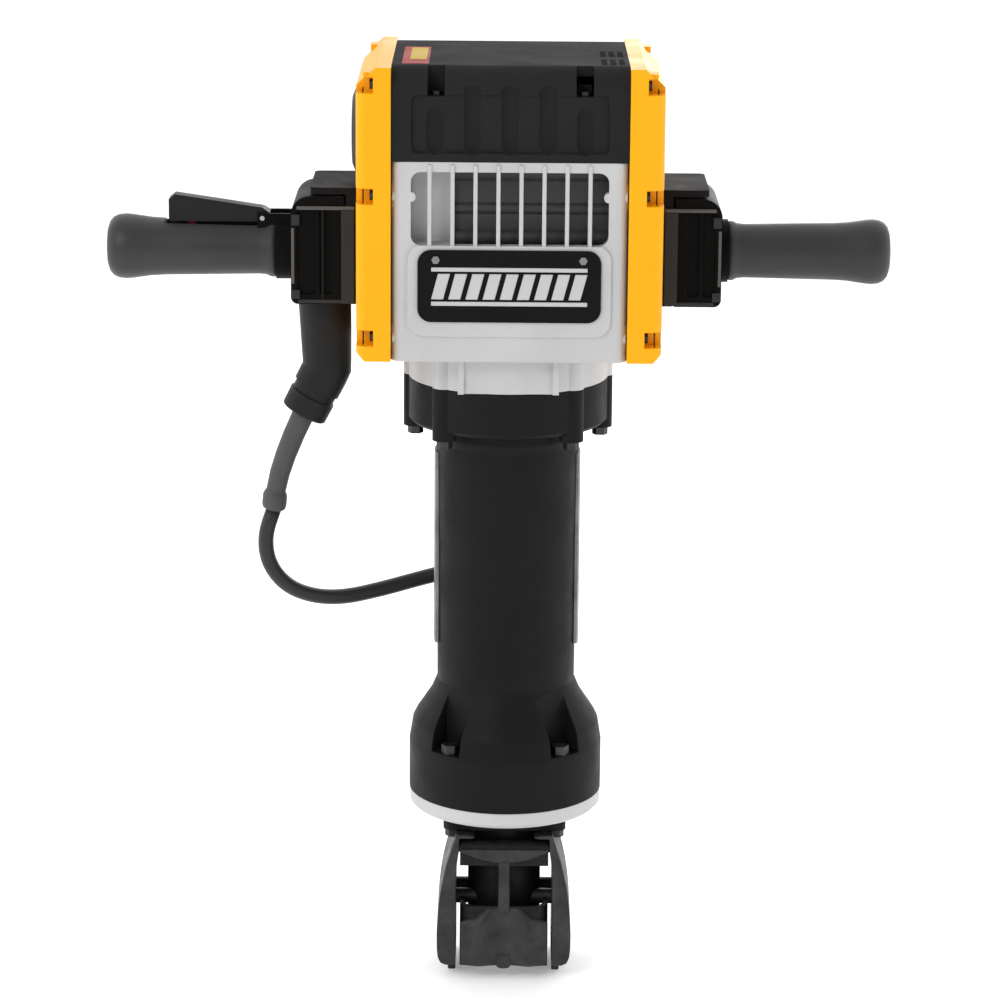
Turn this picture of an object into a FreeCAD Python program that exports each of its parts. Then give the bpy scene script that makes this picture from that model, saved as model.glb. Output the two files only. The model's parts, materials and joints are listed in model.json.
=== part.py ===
import FreeCAD, Part

import math
import os
import re

import Sketcher
from FreeCAD import Placement, Rotation, Vector

# An electric demolition hammer, standing on the two feet of its nose. Millimetres; +Z runs up
# the tool's axis, the origin is on that axis at the feet, -Y is the front with the nameplate,
# and the trigger grip is on the -X side.

SIZES = {
    # Head: a cast gear housing, a moulded top cover and two side shells.
    "head_half": 95, "head_depth": 98, "head_top": 787, "cover_joint": 712, "head_floor": 550,
    "head_corner": 10, "cover_round": 22, "cover_wall": 8, "housing_wall": 8,
    "housing_side": 87, "web_left": -54, "web_right": -46, "motor_side": 84, "crankcase_floor": 560,
    "neck_radius": 83, "neck_floor": 520, "neck_panel": 41, "neck_ridge": 5,
    "rim_half": 81.6, "rim_floor": 571, "rim_top": 646, "rim_proud": 2, "rim_corner": 13,
    "plate_half": 73.5, "plate_floor": 583.3, "plate_top": 641.8, "plate_thick": 2, "plate_corner": 11,
    "plate_screw_x": 59, "plate_screw_z": 634, "plate_screw_radius": 2.6,
    "grille_half": 79, "grille_floor": 645, "grille_top": 704, "grille_corner": 8,
    "grille_lug": 4, "grille_lug_z": 684,
    "bar_pitch": 18.3, "bar_width": 3.2, "bar_floor": 643, "bar_top": 710,
    "bar_proud": 1.5, "bar_depth": 7,
    "panel_half": 79, "panel_floor": 719, "panel_top": 766, "panel_depth": 2.5,
    "scallop_pitch": 30, "scallop_radius": 8.5, "scallop_depth": 4, "scallop_floor": 726,
    "scallop_long": 766, "scallop_short": 748,
    "cover_screw_x": 59, "cover_screw_y": 86, "cover_screw_floor": 704, "cover_pocket_half": 7,
    "cover_pocket_floor": 764, "cover_boss_radius": 7,
    # Side shells.
    "shell_half": 123, "shell_depth": 100, "shell_wall": 5, "shell_top_chamfer": 16,
    "shell_floor_chamfer": 7, "shell_round": 8, "notch_half": 6.5, "notch_inner": 109,
    "notch_depth": 17, "shell_screw_y": 90, "shell_screw_floor": 569, "shell_screw_middle": 684,
    "shell_screw_top": 773, "tower_half": 10, "tower_inner": 79,
    "pad_half": 38, "pad_floor": 592, "pad_top": 674, "pad_gap": 1.5, "pad_face": 117,
    "mount_bolt_y": 26, "mount_bolt_low": 611, "mount_bolt_high": 640,
    "cap_radius": 40, "cap_outer": 129, "cap_inner": 116, "cap_spigot": 20, "cap_dome": 4,
    # Drive: motor, idler and crank, each on an axis along X.
    "motor_level": 723, "idler_level": 666, "crank_level": 611, "crank_throw": 22,
    "gear_room": 68, "gear_one_left": -84, "gear_one_right": -72, "gear_two_left": -69, "gear_two_right": -57,
    "idler_pinion_left": -70, "idler_pinion_right": -56, "shaft_radius": 6,
    "motor_shaft_right": 93, "bearing_radius": 13, "idler_bearing_radius": 11,
    "fan_left": -43, "fan_right": -33, "fan_radius": 48, "fan_hub": 16, "fan_blade": 2,
    "stator_left": -28, "stator_right": 52, "stator_radius": 50, "stator_bore": 30,
    "core_radius": 29.3, "commutator_left": 60, "commutator_right": 76, "commutator_radius": 15,
    "brush_outer": 44, "brush_half": 5, "guide_face": 66, "guide_wall": 4,
    "guide_low": 638,
    "crank_radius": 15, "crank_bearing_radius": 26, "crank_boss_radius": 32, "crank_boss_right": -28,
    "disc_radius": 34, "disc_left": -26, "disc_right": -10, "pin_radius": 9, "pin_stub": 1.5,
    "rod_length": 105, "rod_half": 8, "rod_eye": 15, "rod_foot": 11, "wrist_radius": 6,
    # Hammer train on the tool's axis.
    "sleeve_bore": 33.2, "sleeve_radius": 37, "sleeve_floor": 250, "sleeve_top": 552,
    "piston_radius": 33.1, "piston_floor": 490, "piston_top": 546, "piston_crown": 12,
    "ram_floor": 274.5, "ram_top": 354.5, "ring_inset": 2.5, "ring_height": 3,
    "anvil_floor": 150, "anvil_shoulder": 235, "anvil_top": 262, "anvil_head": 29,
    "anvil_shank": 20, "buffer_floor": 264, "buffer_top": 274, "buffer_bore": 29.6,
    "guide_floor": 165, "guide_top": 234.7, "guide_radius": 32, "running_gap": 0.08,
    # Barrel.
    "flange_floor": 482, "flange_step": 467, "flange_step_radius": 62, "column_floor": 476,
    "barrel_top_radius": 59.5,
    "barrel_radius": 58, "barrel_air": 50, "flare_top": 258, "flare_radius": 78.6, "flare_floor": 221,
    "rim_radius": 81.5, "rim_upper": 203, "rim_lower": 160.6, "bolt_circle": 77, "bolt_spread": 42.5,
    "bolt_column": 10, "bolt_head": 6.5, "bolt_shank": 4, "base_bolt_circle": 73,
    "base_bolt_spread": 39, "pocket_floor": 206, "pocket_half": 15, "pocket_inner": 59,
    "strip_half": 14, "strip_floor": 290, "strip_top": 455, "strip_outer": 61.2, "ring_lower": 147,
    "ring_radius": 81, "ring_chamfer": 3,
    # Nose: block, hexagon bushing, two arms and the swinging bit latch.
    "flange_half": 52, "flange_depth": 35, "flange_lower": 130, "nose_radius": 31, "nose_floor": 22,
    "bushing_radius": 24, "bushing_top": 120, "hex_flats": 28.6, "mouth_radius": 17.5,
    "mouth_depth": 6, "nose_bolt_x": 44, "nose_bolt_y": 26,
    "arm_inner": 41, "arm_foot": 47, "arm_waist": 55.5, "arm_neck": 45, "arm_depth": 30,
    "stay_level": 64, "stay_y": 14,
    "stay_radius": 5, "latch_pin_y": -38, "latch_pin_z": 116, "latch_pin_radius": 4,
    "latch_barrel": 6.4, "latch_half": 37.5, "cup_wall": 4, "cup_floor": 12, "cup_plate": 7,
    "cup_top": 65, "cup_front": -45, "cup_rear": 0, "plate_rear": 22, "slot_half": 19,
    "rib_half": 5, "rib_thick": 6,
    # Handles: a fixed mount, and a sprung bracket that carries the grip.
    "mount_face": 133, "mount_half": 44, "mount_floor": 585, "mount_top": 681,
    "left_arm_reach": 165, "right_arm_reach": 160,
    "mount_arm_half": 32, "mount_arm_thick": 6, "upper_arm": 657, "lower_arm": 594,
    "slide_rod_x": 152, "slide_rod_y": 21, "slide_rod_radius": 5, "slider_floor": 633,
    "slider_top": 650.5, "slider_radius": 9, "handle_travel": 12, "spring_radius": 7.2,
    "spring_wire": 1.2, "spring_turns": 6, "bracket_inner": 134.5,
    "left_bracket_outer": 178, "right_bracket_outer": 173,
    "bracket_half": 45, "bracket_floor": 586, "bracket_top": 675, "bracket_wall": 4,
    "bracket_round": 16, "hood_outer": 162, "hood_top": 682,
    "grip_level": 625, "left_grip_inner": 192, "left_grip_outer": 331.5,
    "right_grip_inner": 180, "right_grip_outer": 314, "grip_radius": 23.5,
    "knob_radius": 26.8, "knob_length": 30, "collar_radius": 26, "tube_radius": 15, "tube_bore": 12,
    "trigger_hinge_x": -203, "trigger_hinge_z": 651, "trigger_outer": -280, "trigger_high": 669.6,
    "trigger_low": 659, "trigger_floor": 647.5, "trigger_half": 9, "trigger_slot": 641,
    "trigger_pin_radius": 2, "plunger_x": -262, "plunger_radius": 3, "plunger_foot": 634,
    "switch_half": 12, "switch_height": 14,
    # Cord: a guard under the trigger bracket, a rubber relief, the cord and its plug.
    "guard_axis": -153.2, "guard_radius": 18.5, "guard_elbow": 524, "guard_mouth": 50, "guard_rib": 34,
    "outlet_x": -170, "outlet_z": 478, "relief_root": 8.6, "relief_tip": 7.8,
    "relief_bead": 10, "cord_radius": 6.5, "hank_inner": 32.5, "hank_half": 58.5, "hank_front": 65,
    "hank_rear": 91, "hank_floor": 262, "hank_top": 462, "plug_half": 12, "plug_x": 39,
    "plug_floor": 395, "plug_top": 440, "prong_length": 16,
}

TEETH = {"motor_pinion": 12, "idler_gear": 64, "idler_pinion": 11, "crank_gear": 44}
MODULE = {"first": 1.5, "second": 2.0}

ALIAS = re.compile(r"\b([a-z]+(?:_[a-z]+)+)\b")
TURN = {
    "X": Rotation(Vector(0, 1, 0), 90),
    "Y": Rotation(Vector(1, 0, 0), -90),
    "Z": Rotation(),
}

doc = FreeCAD.newDocument("demolition_hammer")
sheet = doc.addObject("Spreadsheet::Sheet", "Sizes")
for row, (alias, value) in enumerate(SIZES.items(), start=1):
    sheet.set(f"A{row}", alias)
    sheet.set(f"B{row}", str(value))
    sheet.setAlias(f"B{row}", alias)
doc.recompute()

nodes = []


# --- Helpers: every length is an expression on the sheet's aliases -------------------------------

def bind(thing, prop, expression):
    """Bind a property to the sheet; a word with an underscore is one of its aliases."""
    thing.setExpression(prop, ALIAS.sub(r"Sizes.\1", str(expression)))


def size(expression):
    """The present value of an expression on the sheet."""
    return float(sheet.evalExpression(ALIAS.sub(r"Sizes.\1", str(expression))))


def place(thing, at, rotation=Rotation()):
    thing.Placement = Placement(Vector(*(size(part) for part in at)), rotation)
    for letter, part in zip("xyz", at):
        bind(thing, f"Placement.Base.{letter}", part)


def box(x, y, z):
    """A box between the low and high expressions of each axis."""
    solid = doc.addObject("Part::Box", "box")
    for prop, (low, high) in zip(("Length", "Width", "Height"), (x, y, z)):
        bind(solid, prop, f"({high}) - ({low})")
    place(solid, (x[0], y[0], z[0]))
    return solid


def rod(axis, radius, low, high, at=(0, 0)):
    """A cylinder along an axis from low to high; `at` is its place on the other two axes."""
    solid = doc.addObject("Part::Cylinder", "rod")
    bind(solid, "Radius", radius)
    bind(solid, "Height", f"({high}) - ({low})")
    corner = list(at)
    corner.insert("XYZ".index(axis), low)
    place(solid, corner, TURN[axis])
    return solid


def prism(axis, radius, low, high, at=(0, 0), sides=6):
    """A regular prism, such as a bolt's head, with its corners at `radius`."""
    solid = doc.addObject("Part::Prism", "prism")
    solid.Polygon = sides
    bind(solid, "Circumradius", radius)
    bind(solid, "Height", f"({high}) - ({low})")
    corner = list(at)
    corner.insert("XYZ".index(axis), low)
    place(solid, corner, TURN[axis])
    return solid


def fuse(*solids):
    result = doc.addObject("Part::MultiFuse", "fuse")
    result.Shapes = list(solids)
    return result


def cut(base, *tools):
    result = doc.addObject("Part::Cut", "cut")
    result.Base = base
    result.Tool = fuse(*tools) if len(tools) > 1 else tools[0]
    return result


def common(first, second):
    result = doc.addObject("Part::Common", "common")
    result.Base = first
    result.Tool = second
    return result


def group(solids):
    """Separate solids kept together, such as a set of screws."""
    result = doc.addObject("Part::Compound", "group")
    result.Links = list(solids)
    return result


def sketched(plane, corners):
    """A body with a closed straight-sided outline, each corner bound to the sheet."""
    body = doc.addObject("PartDesign::Body", "body")
    sketch = body.newObject("Sketcher::SketchObject", "outline")
    origin_plane = next(item for item in body.Origin.OriginFeatures if item.Role == plane)
    sketch.AttachmentSupport = (origin_plane, [""])
    sketch.MapMode = "FlatFace"
    spots = [Vector(size(across), size(up), 0) for across, up in corners]
    count = len(spots)
    for index, spot in enumerate(spots):
        sketch.addGeometry(Part.LineSegment(spot, spots[(index + 1) % count]), False)
    for index, (across, up) in enumerate(corners):
        following = (index + 1) % count
        sketch.addConstraint(Sketcher.Constraint("Coincident", index, 2, following, 1))
        for kind, expression in (("DistanceX", across), ("DistanceY", up)):
            value = size(expression)
            row = sketch.addConstraint(Sketcher.Constraint(kind, -1, 1, index, 1, value))
            bind(sketch, f"Constraints[{row}]", expression)
    return body, sketch


def turned(axis, profile, at=(0, 0)):
    """A piece turned about an axis; the profile's corners are (radius, place along the axis)."""
    body, sketch = sketched("XZ_Plane", profile)
    turn = body.newObject("PartDesign::Revolution", "turn")
    turn.Profile = sketch
    turn.ReferenceAxis = (sketch, ["V_Axis"])
    turn.Angle = 360
    corner = list(at)
    corner.insert("XYZ".index(axis), 0)
    place(body, corner, TURN[axis])
    return body


def slab(plane, corners, low, high):
    """An outline padded from low to high across its plane."""
    body, sketch = sketched(plane, corners)
    pad = body.newObject("PartDesign::Pad", "pad")
    pad.Profile = sketch
    bind(pad, "Length", f"({high}) - ({low})")
    corner = [0, 0, 0]
    if plane == "XZ_Plane":
        pad.Reversed = True
    corner[{"YZ_Plane": 0, "XZ_Plane": 1, "XY_Plane": 2}[plane]] = low
    place(body, corner)
    return body


def soften(body, kind, radius, picks):
    """Fillet or chamfer the edges of a body's last feature that `picks` accepts."""
    doc.recompute([body])
    last = body.Tip
    names = [f"Edge{row}" for row, edge in enumerate(last.Shape.Edges, start=1) if picks(edge)]
    dressing = body.newObject(f"PartDesign::{kind}", kind.lower())
    dressing.Base = (last, names)
    bind(dressing, {"Fillet": "Radius", "Chamfer": "Size"}[kind], radius)
    body.Tip = dressing
    return body


def along(axis):
    """Accept the straight edges that run along an axis."""
    direction = {"X": Vector(1, 0, 0), "Y": Vector(0, 1, 0), "Z": Vector(0, 0, 1)}[axis]

    def accept(edge):
        ends = edge.Vertexes[-1].Point - edge.Vertexes[0].Point
        return ends.Length > 0.5 and abs(ends.normalize().dot(direction)) > 0.999

    return accept


def block(x, y, z, axis, radius, kind="Fillet"):
    """A box whose four edges along an axis are rounded or chamfered."""
    corners = [(x[0], z[0]), (x[1], z[0]), (x[1], z[1]), (x[0], z[1])]
    if axis == "Z":
        corners = [(x[0], y[0]), (x[1], y[0]), (x[1], y[1]), (x[0], y[1])]
        return soften(slab("XY_Plane", corners, *z), kind, radius, along("Z"))
    if axis == "X":
        corners = [(y[0], z[0]), (y[1], z[0]), (y[1], z[1]), (y[0], z[1])]
        return soften(slab("YZ_Plane", corners, *x), kind, radius, along("X"))
    return soften(slab("XZ_Plane", corners, *y), kind, radius, along("Y"))


def screw(axis, head, shank, face, head_end, shank_end, at):
    """A hexagon-headed screw: the head from face to head_end, the shank from face to shank_end."""
    ends = sorted((face, head_end), key=size)
    reach = sorted((face, shank_end), key=size)
    return fuse(prism(axis, head, *ends, at), rod(axis, shank, *reach, at))


def gear(axis, module, teeth, low, high, at, bore, first_gap=0.0):
    """A spur gear with involute flanks; a tooth starts at +Z, turned on by first_gap teeth."""
    pitch = module * teeth / 2
    base = pitch * math.cos(math.radians(20))
    tip = pitch + 0.65 * module
    root = pitch - 1.0 * module
    half_tooth = math.pi / (2 * teeth) - 0.12 / pitch

    def flank(radius):
        """Half the angle of a tooth's thickness at a radius."""
        roll = math.acos(min(1.0, base / max(radius, base)))
        involute = math.tan(roll) - roll
        return half_tooth + (math.tan(math.radians(20)) - math.radians(20)) - involute

    def spot(radius, angle):
        return Vector(radius * math.sin(angle), radius * math.cos(angle), 0)

    start = max(base, root)

    def flank_spot(middle, side, share):
        """A point of one flank, from its start (share 0) to the tooth's tip (share 1)."""
        radius = start + (tip - start) * share
        return spot(radius, middle + side * flank(radius))

    edges = []
    step = 2 * math.pi / teeth
    for tooth in range(teeth):
        middle = (tooth + first_gap) * step
        rising = [spot(root, middle - flank(start))]
        rising += [flank_spot(middle, -1, share / 3) for share in range(4)]
        falling = [flank_spot(middle, 1, share / 3) for share in (3, 2, 1, 0)]
        falling.append(spot(root, middle + flank(start)))
        following = spot(root, middle + step - flank(start))
        outline = [spot_ for row, spot_ in enumerate(rising + falling + [following])]
        for near, far in zip(outline, outline[1:]):
            if (far - near).Length > 1e-6:
                edges.append(Part.makeLine(near, far))
    face = Part.Face(Part.Wire(edges))
    width = size(f"({high}) - ({low})")
    solid = face.extrude(Vector(0, 0, width))
    if size(bore) > 0:
        solid = solid.cut(Part.makeCylinder(size(bore), width))
    wheel = doc.addObject("Part::Feature", "gear")
    wheel.Shape = solid
    # The outline's +Y becomes +Z and its thickness runs along +X.
    wheel.Placement = Placement(
        Vector(size(low), size(at[0]), size(at[1])), Rotation(Vector(0, 1, 0), Vector(0, 0, 1), Vector(1, 0, 0))
    )
    return wheel


def node(name, thing):
    """Name a sub-part; its Label names its file."""
    thing.Label = name
    nodes.append(thing)
    return thing


def spread(count, circle, angle):
    """The (x, y) expressions of two or four spots at +-angle from the Y axis, front and rear."""
    return [
        (f"{sx} * {circle} * sin({angle})", f"{sy} * {circle} * cos({angle})")
        for sx in (-1, 1) for sy in (-1, 1)
    ][:count]


SIDES = {"left": -1, "right": 1}
SHELL_SCREWS = ("shell_screw_floor", "shell_screw_middle", "shell_screw_top")


# --- Head ------------------------------------------------------------------------------------

def barrel_spots():
    """The six bolts of the barrel's top flange: one each side, four at the diagonals."""
    sides = [("-bolt_circle", "0"), ("bolt_circle", "0")]
    return sides + spread(4, "bolt_circle", "bolt_spread")


def cover_spots():
    return [(f"{sx} * cover_screw_x", f"{sy} * cover_screw_y") for sx in (-1, 1) for sy in (-1, 1)]


def shell_screw_set(side):
    """Screws along X that hold one shell to the head: front and rear, at three levels."""
    screws = []
    for facing in (-1, 1):
        for level in SHELL_SCREWS:
            screws.append(screw(
                "X", 4.2, 2, f"{side} * notch_inner", f"{side} * (notch_inner + 3)",
                f"{side} * tower_inner", (f"{facing} * shell_screw_y", level),
            ))
    return screws


def mount_bolt_set(side):
    """Four bolts that hold a handle mount to the head's cast pad."""
    return [
        screw("X", 6, 3, f"{side} * mount_face", f"{side} * (mount_face + 4)", f"{side} * 100",
              (f"{sy} * mount_bolt_y", level))
        for sy in (-1, 1) for level in ("mount_bolt_low", "mount_bolt_high")
    ]


def grille_bars(facing):
    bars = []
    for place_ in (-3.5, -2.5, -1.5, -0.5, 0.5, 1.5, 2.5, 3.5):
        middle = f"{place_} * bar_pitch"
        face = f"{facing} * (head_depth + bar_proud)"
        back = f"{facing} * (head_depth - bar_depth)"
        bars.append(box(
            (f"{middle} - bar_width / 2", f"{middle} + bar_width / 2"),
            tuple(sorted((face, back), key=size)), ("bar_floor", "bar_top"),
        ))
    return bars


def facing_box(facing, x, near, far, z, axis="Y", radius=None):
    """A box that reaches from near to far along the way the front (-1) or rear (1) faces."""
    y = tuple(sorted((f"{facing} * ({near})", f"{facing} * ({far})"), key=size))
    return block(x, y, z, axis, radius) if radius else box(x, y, z)


barrel_bolts = node("barrel_flange_bolts", group([
    screw("Z", "bolt_head", "bolt_shank", "column_floor", "column_floor - 7", "neck_floor + 20", at)
    for at in barrel_spots()
]))
cover_screws = group([
    screw("Z", 4.6, 2, "cover_pocket_floor", "cover_pocket_floor + 3.5", "cover_screw_floor + 1", at)
    for at in cover_spots()
])
shell_screws = {name: shell_screw_set(side) for name, side in SIDES.items()}
node("head_screws", group([cover_screws, *shell_screws["left"], *shell_screws["right"]]))
mount_bolts = {name: mount_bolt_set(side) for name, side in SIDES.items()}
node("handle_mount_bolts", group(mount_bolts["left"] + mount_bolts["right"]))
plate_screws = [
    screw("Y", 3.4, 1.6, f"{facing} * (head_depth + rim_proud + plate_thick)",
          f"{facing} * (head_depth + rim_proud + plate_thick + 1.2)", f"{facing} * (head_depth - 6)",
          (f"{side} * plate_screw_x", "plate_screw_z"))
    for facing in (-1, 1) for side in (-1, 1)
]
node("nameplate_screws", group(plate_screws))


def gear_housing():
    """The cast head: gear case on the left of a web, motor room on its right, neck below."""
    outer = block(("-head_half", "head_half"), ("-head_depth", "head_depth"),
                  ("head_floor", "cover_joint"), "Z", "head_corner")
    added = [outer, rod("Z", "neck_radius", "neck_floor", "head_floor + 2")]
    added += [rod("Z", "bolt_column", "neck_floor", "crankcase_floor", at) for at in barrel_spots()]
    for facing in (-1, 1):
        added.append(facing_box(facing, ("-rim_half", "rim_half"), "head_depth - 2",
                                "head_depth + rim_proud", ("rim_floor", "rim_top"), "Y", "rim_corner"))
        for side in (-1, 1):
            ridge = tuple(sorted((f"{side} * neck_panel", f"{side} * (neck_panel - neck_ridge)"), key=size))
            added.append(facing_box(facing, ridge, "neck_radius - 14", "neck_radius + 1",
                                    ("neck_floor", "head_floor + 4")))
        panel = facing_box(facing, ("-neck_panel", "neck_panel"), "60", "neck_radius - 2",
                           ("neck_floor", "head_floor + 2"))
        added.append(panel)
    for side in (-1, 1):
        pad_x = tuple(sorted((f"{side} * head_half", f"{side} * pad_face"), key=size))
        added.append(box(pad_x, ("-pad_half", "pad_half"), ("pad_floor", "pad_top")))
    case = fuse(*added)
    rooms = [
        box(("-housing_side", "web_left"), ("-gear_room", "gear_room"),
            ("crankcase_floor", "cover_joint + 1")),
        box(("web_right", "motor_side"), ("-head_depth + housing_wall", "head_depth - housing_wall"),
            ("crankcase_floor", "cover_joint + 1")),
    ]
    for facing in (-1, 1):
        rooms.append(facing_box(facing, ("-grille_half", "grille_half"), "head_depth - housing_wall - 1",
                                "head_depth + 5", ("grille_floor", "grille_top"), "Y", "grille_corner"))
        # The sealed gear case stands back behind the left end of the grille.
        rooms.append(facing_box(facing, ("-grille_half", "web_right + 1"), "gear_room + 8",
                                "head_depth - 2", ("grille_floor", "grille_top")))
    case = cut(case, *rooms)
    # The crank's bearing boss, the cover screws' and shell screws' towers and the grille's ribs.
    towers = [rod("X", "crank_boss_radius", "web_left", "crank_boss_right", (0, "crank_level"))]
    towers += [rod("Z", "cover_boss_radius", "cover_screw_floor", "cover_joint", at) for at in cover_spots()]
    for side in (-1, 1):
        ends = tuple(sorted((f"{side} * tower_inner", f"{side} * (head_half - 1)"), key=size))
        for facing in (-1, 1):
            for level in SHELL_SCREWS[:2]:
                towers.append(rod("X", 5.5, *ends, (f"{facing} * shell_screw_y", level)))
            lug_y = tuple(sorted((f"{facing} * head_depth", f"{facing} * (head_depth - bar_depth)"), key=size))
            towers.append(rod("Y", "grille_lug", *lug_y, (f"{side} * grille_half", "grille_lug_z")))
    case = fuse(case, *towers, *grille_bars(-1), *grille_bars(1))
    bores = [
        rod("X", "crank_bearing_radius", "web_left - 1", "crank_boss_right + 1", (0, "crank_level")),
        rod("X", "idler_bearing_radius", "web_left - 1", "web_right + 1", (0, "idler_level")),
        rod("X", "idler_bearing_radius", "-housing_side - 6", "-housing_side + 1", (0, "idler_level")),
        rod("X", "bearing_radius", "web_left - 1", "web_right + 1", (0, "motor_level")),
        rod("X", "bearing_radius", "motor_side - 1", "motor_side + 9", (0, "motor_level")),
        rod("Z", "sleeve_radius", "neck_floor - 1", "crankcase_floor + 1"),
    ]
    screws = [barrel_bolts, cover_screws, *plate_screws, *shell_screws["left"], *shell_screws["right"],
              *mount_bolts["left"], *mount_bolts["right"]]
    return cut(case, *bores, *screws)


def top_cover():
    """The moulded motor cover, with a scalloped panel and screw pockets front and rear."""
    shell = block(("-head_half", "head_half"), ("-head_depth", "head_depth"),
                  ("cover_joint", "head_top"), "X", "cover_round")
    # Only the two upper edges are round: the lower band is squared off again.
    square = box(("-head_half", "head_half"), ("-head_depth", "head_depth"),
                 ("cover_joint", "cover_joint + cover_round + 1"))
    shell = fuse(shell, square)
    rooms = [
        block(x, (f"-({depth})", depth), ("cover_joint - cover_round", "head_top - cover_wall"), "X",
              "cover_round - cover_wall")
        for x, depth in ((("-housing_side", "web_left"), "gear_room"),
                         (("web_right", "motor_side"), "head_depth - cover_wall"))
    ]
    shell = cut(shell, *rooms)
    towers = [rod("Z", "cover_boss_radius + 2", "cover_joint", "cover_pocket_floor + 8", at)
              for at in cover_spots()]
    for side in (-1, 1):
        ends = tuple(sorted((f"{side} * tower_inner", f"{side} * (head_half - 1)"), key=size))
        towers += [rod("X", 5.5, *ends, (f"{facing} * shell_screw_y", "shell_screw_top"))
                   for facing in (-1, 1)]
    envelope = block(("-head_half", "head_half"), ("-head_depth", "head_depth"),
                     ("cover_joint - 2 * cover_round", "head_top"), "X", "cover_round")
    shell = common(fuse(shell, *towers), envelope)
    tools = []
    for facing in (-1, 1):
        tools.append(facing_box(facing, ("-panel_half", "panel_half"), "head_depth - panel_depth",
                                "head_depth + 5", ("panel_floor", "panel_top"), "Y", 5))
        for step in (-2, -1, 0, 1, 2):
            top = "scallop_short" if abs(step) == 2 else "scallop_long"
            spot = (f"{step} * scallop_pitch",
                    f"{facing} * (head_depth - panel_depth - scallop_depth + scallop_radius)")
            tools.append(rod("Z", "scallop_radius", "scallop_floor", top, spot))
            for end in ("scallop_floor", top):
                ball = doc.addObject("Part::Sphere", "ball")
                bind(ball, "Radius", "scallop_radius")
                place(ball, (*spot, end))
                tools.append(ball)
    for x, y in cover_spots():
        facing = -1 if size(y) < 0 else 1
        tools.append(facing_box(facing, (f"{x} - cover_pocket_half", f"{x} + cover_pocket_half"),
                                "cover_screw_y - cover_pocket_half", "head_depth + 5",
                                ("cover_pocket_floor", "head_top + 5")))
    tools += [
        rod("X", "bearing_radius", "web_left - 1", "web_right + 1", (0, "motor_level")),
        rod("X", "bearing_radius", "motor_side - 1", "motor_side + 9", (0, "motor_level")),
    ]
    return cut(shell, *tools, cover_screws, *shell_screws["left"], *shell_screws["right"])


def side_shell(side):
    """A yellow moulded shell over one side of the head, open towards it."""
    def reach(inner, outer):
        return tuple(sorted((f"{side} * ({inner})", f"{side} * ({outer})"), key=size))

    outline = [
        (f"{side} * head_half", "head_floor"),
        (f"{side} * (shell_half - shell_floor_chamfer)", "head_floor"),
        (f"{side} * shell_half", "head_floor + shell_floor_chamfer"),
        (f"{side} * shell_half", "head_top - shell_top_chamfer"),
        (f"{side} * (shell_half - shell_top_chamfer)", "head_top"),
        (f"{side} * head_half", "head_top"),
    ]
    skin = slab("XZ_Plane", outline, "-shell_depth", "shell_depth")
    outer_edges = along("Z")
    skin = soften(skin, "Fillet", "shell_round",
                  lambda edge: outer_edges(edge) and abs(edge.Vertexes[0].X) > SIZES["head_half"] + 5)
    inset = [
        (f"{side} * (head_half - 1)", "head_floor + shell_wall"),
        (f"{side} * (shell_half - shell_floor_chamfer - 2)", "head_floor + shell_wall"),
        (f"{side} * (shell_half - shell_wall)", "head_floor + shell_floor_chamfer + 3"),
        (f"{side} * (shell_half - shell_wall)", "head_top - shell_top_chamfer - 2"),
        (f"{side} * (shell_half - shell_top_chamfer - 2)", "head_top - shell_wall"),
        (f"{side} * (head_half - 1)", "head_top - shell_wall"),
    ]
    room = slab("XZ_Plane", inset, "-shell_depth + shell_wall", "shell_depth - shell_wall")
    towers = []
    notches = []
    for facing in (-1, 1):
        for level in SHELL_SCREWS:
            band = (f"{level} - tower_half", f"{level} + tower_half")
            towers.append(facing_box(facing, reach("head_half", "shell_half - 6"),
                                     "shell_depth - 22", "shell_depth - 3", band))
            notch = (f"{level} - notch_half", f"{level} + notch_half")
            notches.append(facing_box(facing, reach("notch_inner", "shell_half + 5"),
                                      "shell_depth - notch_depth", "shell_depth + 5", notch))
    opening = box(reach("head_half", "shell_half + 5"), ("-pad_half - pad_gap", "pad_half + pad_gap"),
                  ("pad_floor - pad_gap", "pad_top + pad_gap"))
    tools = [opening, *notches]
    if side < 0:
        tools.append(rod("X", "cap_radius + 0.3", *reach("cap_inner - 1", "shell_half + 5"),
                         (0, "motor_level")))
    hollow = fuse(cut(skin, room), *towers)
    screws = shell_screws["left"] if side < 0 else shell_screws["right"]
    return cut(hollow, *tools, *screws)


node("gear_housing", gear_housing())
node("top_cover", top_cover())
for side_name, side_sign in SIDES.items():
    node(f"{side_name}_side_shell", side_shell(side_sign))
for face_name, facing in (("nameplate", -1), ("rating_plate", 1)):
    plate = facing_box(facing, ("-plate_half", "plate_half"), "head_depth + rim_proud",
                       "head_depth + rim_proud + plate_thick", ("plate_floor", "plate_top"), "Y",
                       "plate_corner")
    node(face_name, cut(plate, *plate_screws))
node("motor_end_cap", turned("X", [
    (0, "-cap_outer"), ("cap_radius - 12", "-cap_outer"), ("cap_radius - 2", "-cap_outer + cap_dome"),
    ("cap_radius", "-cap_outer + cap_dome + 2"), ("cap_radius", "-cap_inner"),
    ("cap_spigot", "-cap_inner"), ("cap_spigot", "-head_half"), (0, "-head_half"),
], (0, "motor_level")))


# --- Drive: motor, reduction gears and crank -----------------------------------------------------

MOTOR = (0, "motor_level")
IDLER = (0, "idler_level")
CRANK = (0, "crank_level")


def ring(axis, outer, bore, low, high, at=(0, 0)):
    return turned(axis, [(bore, low), (outer, low), (outer, high), (bore, high)], at)


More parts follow.
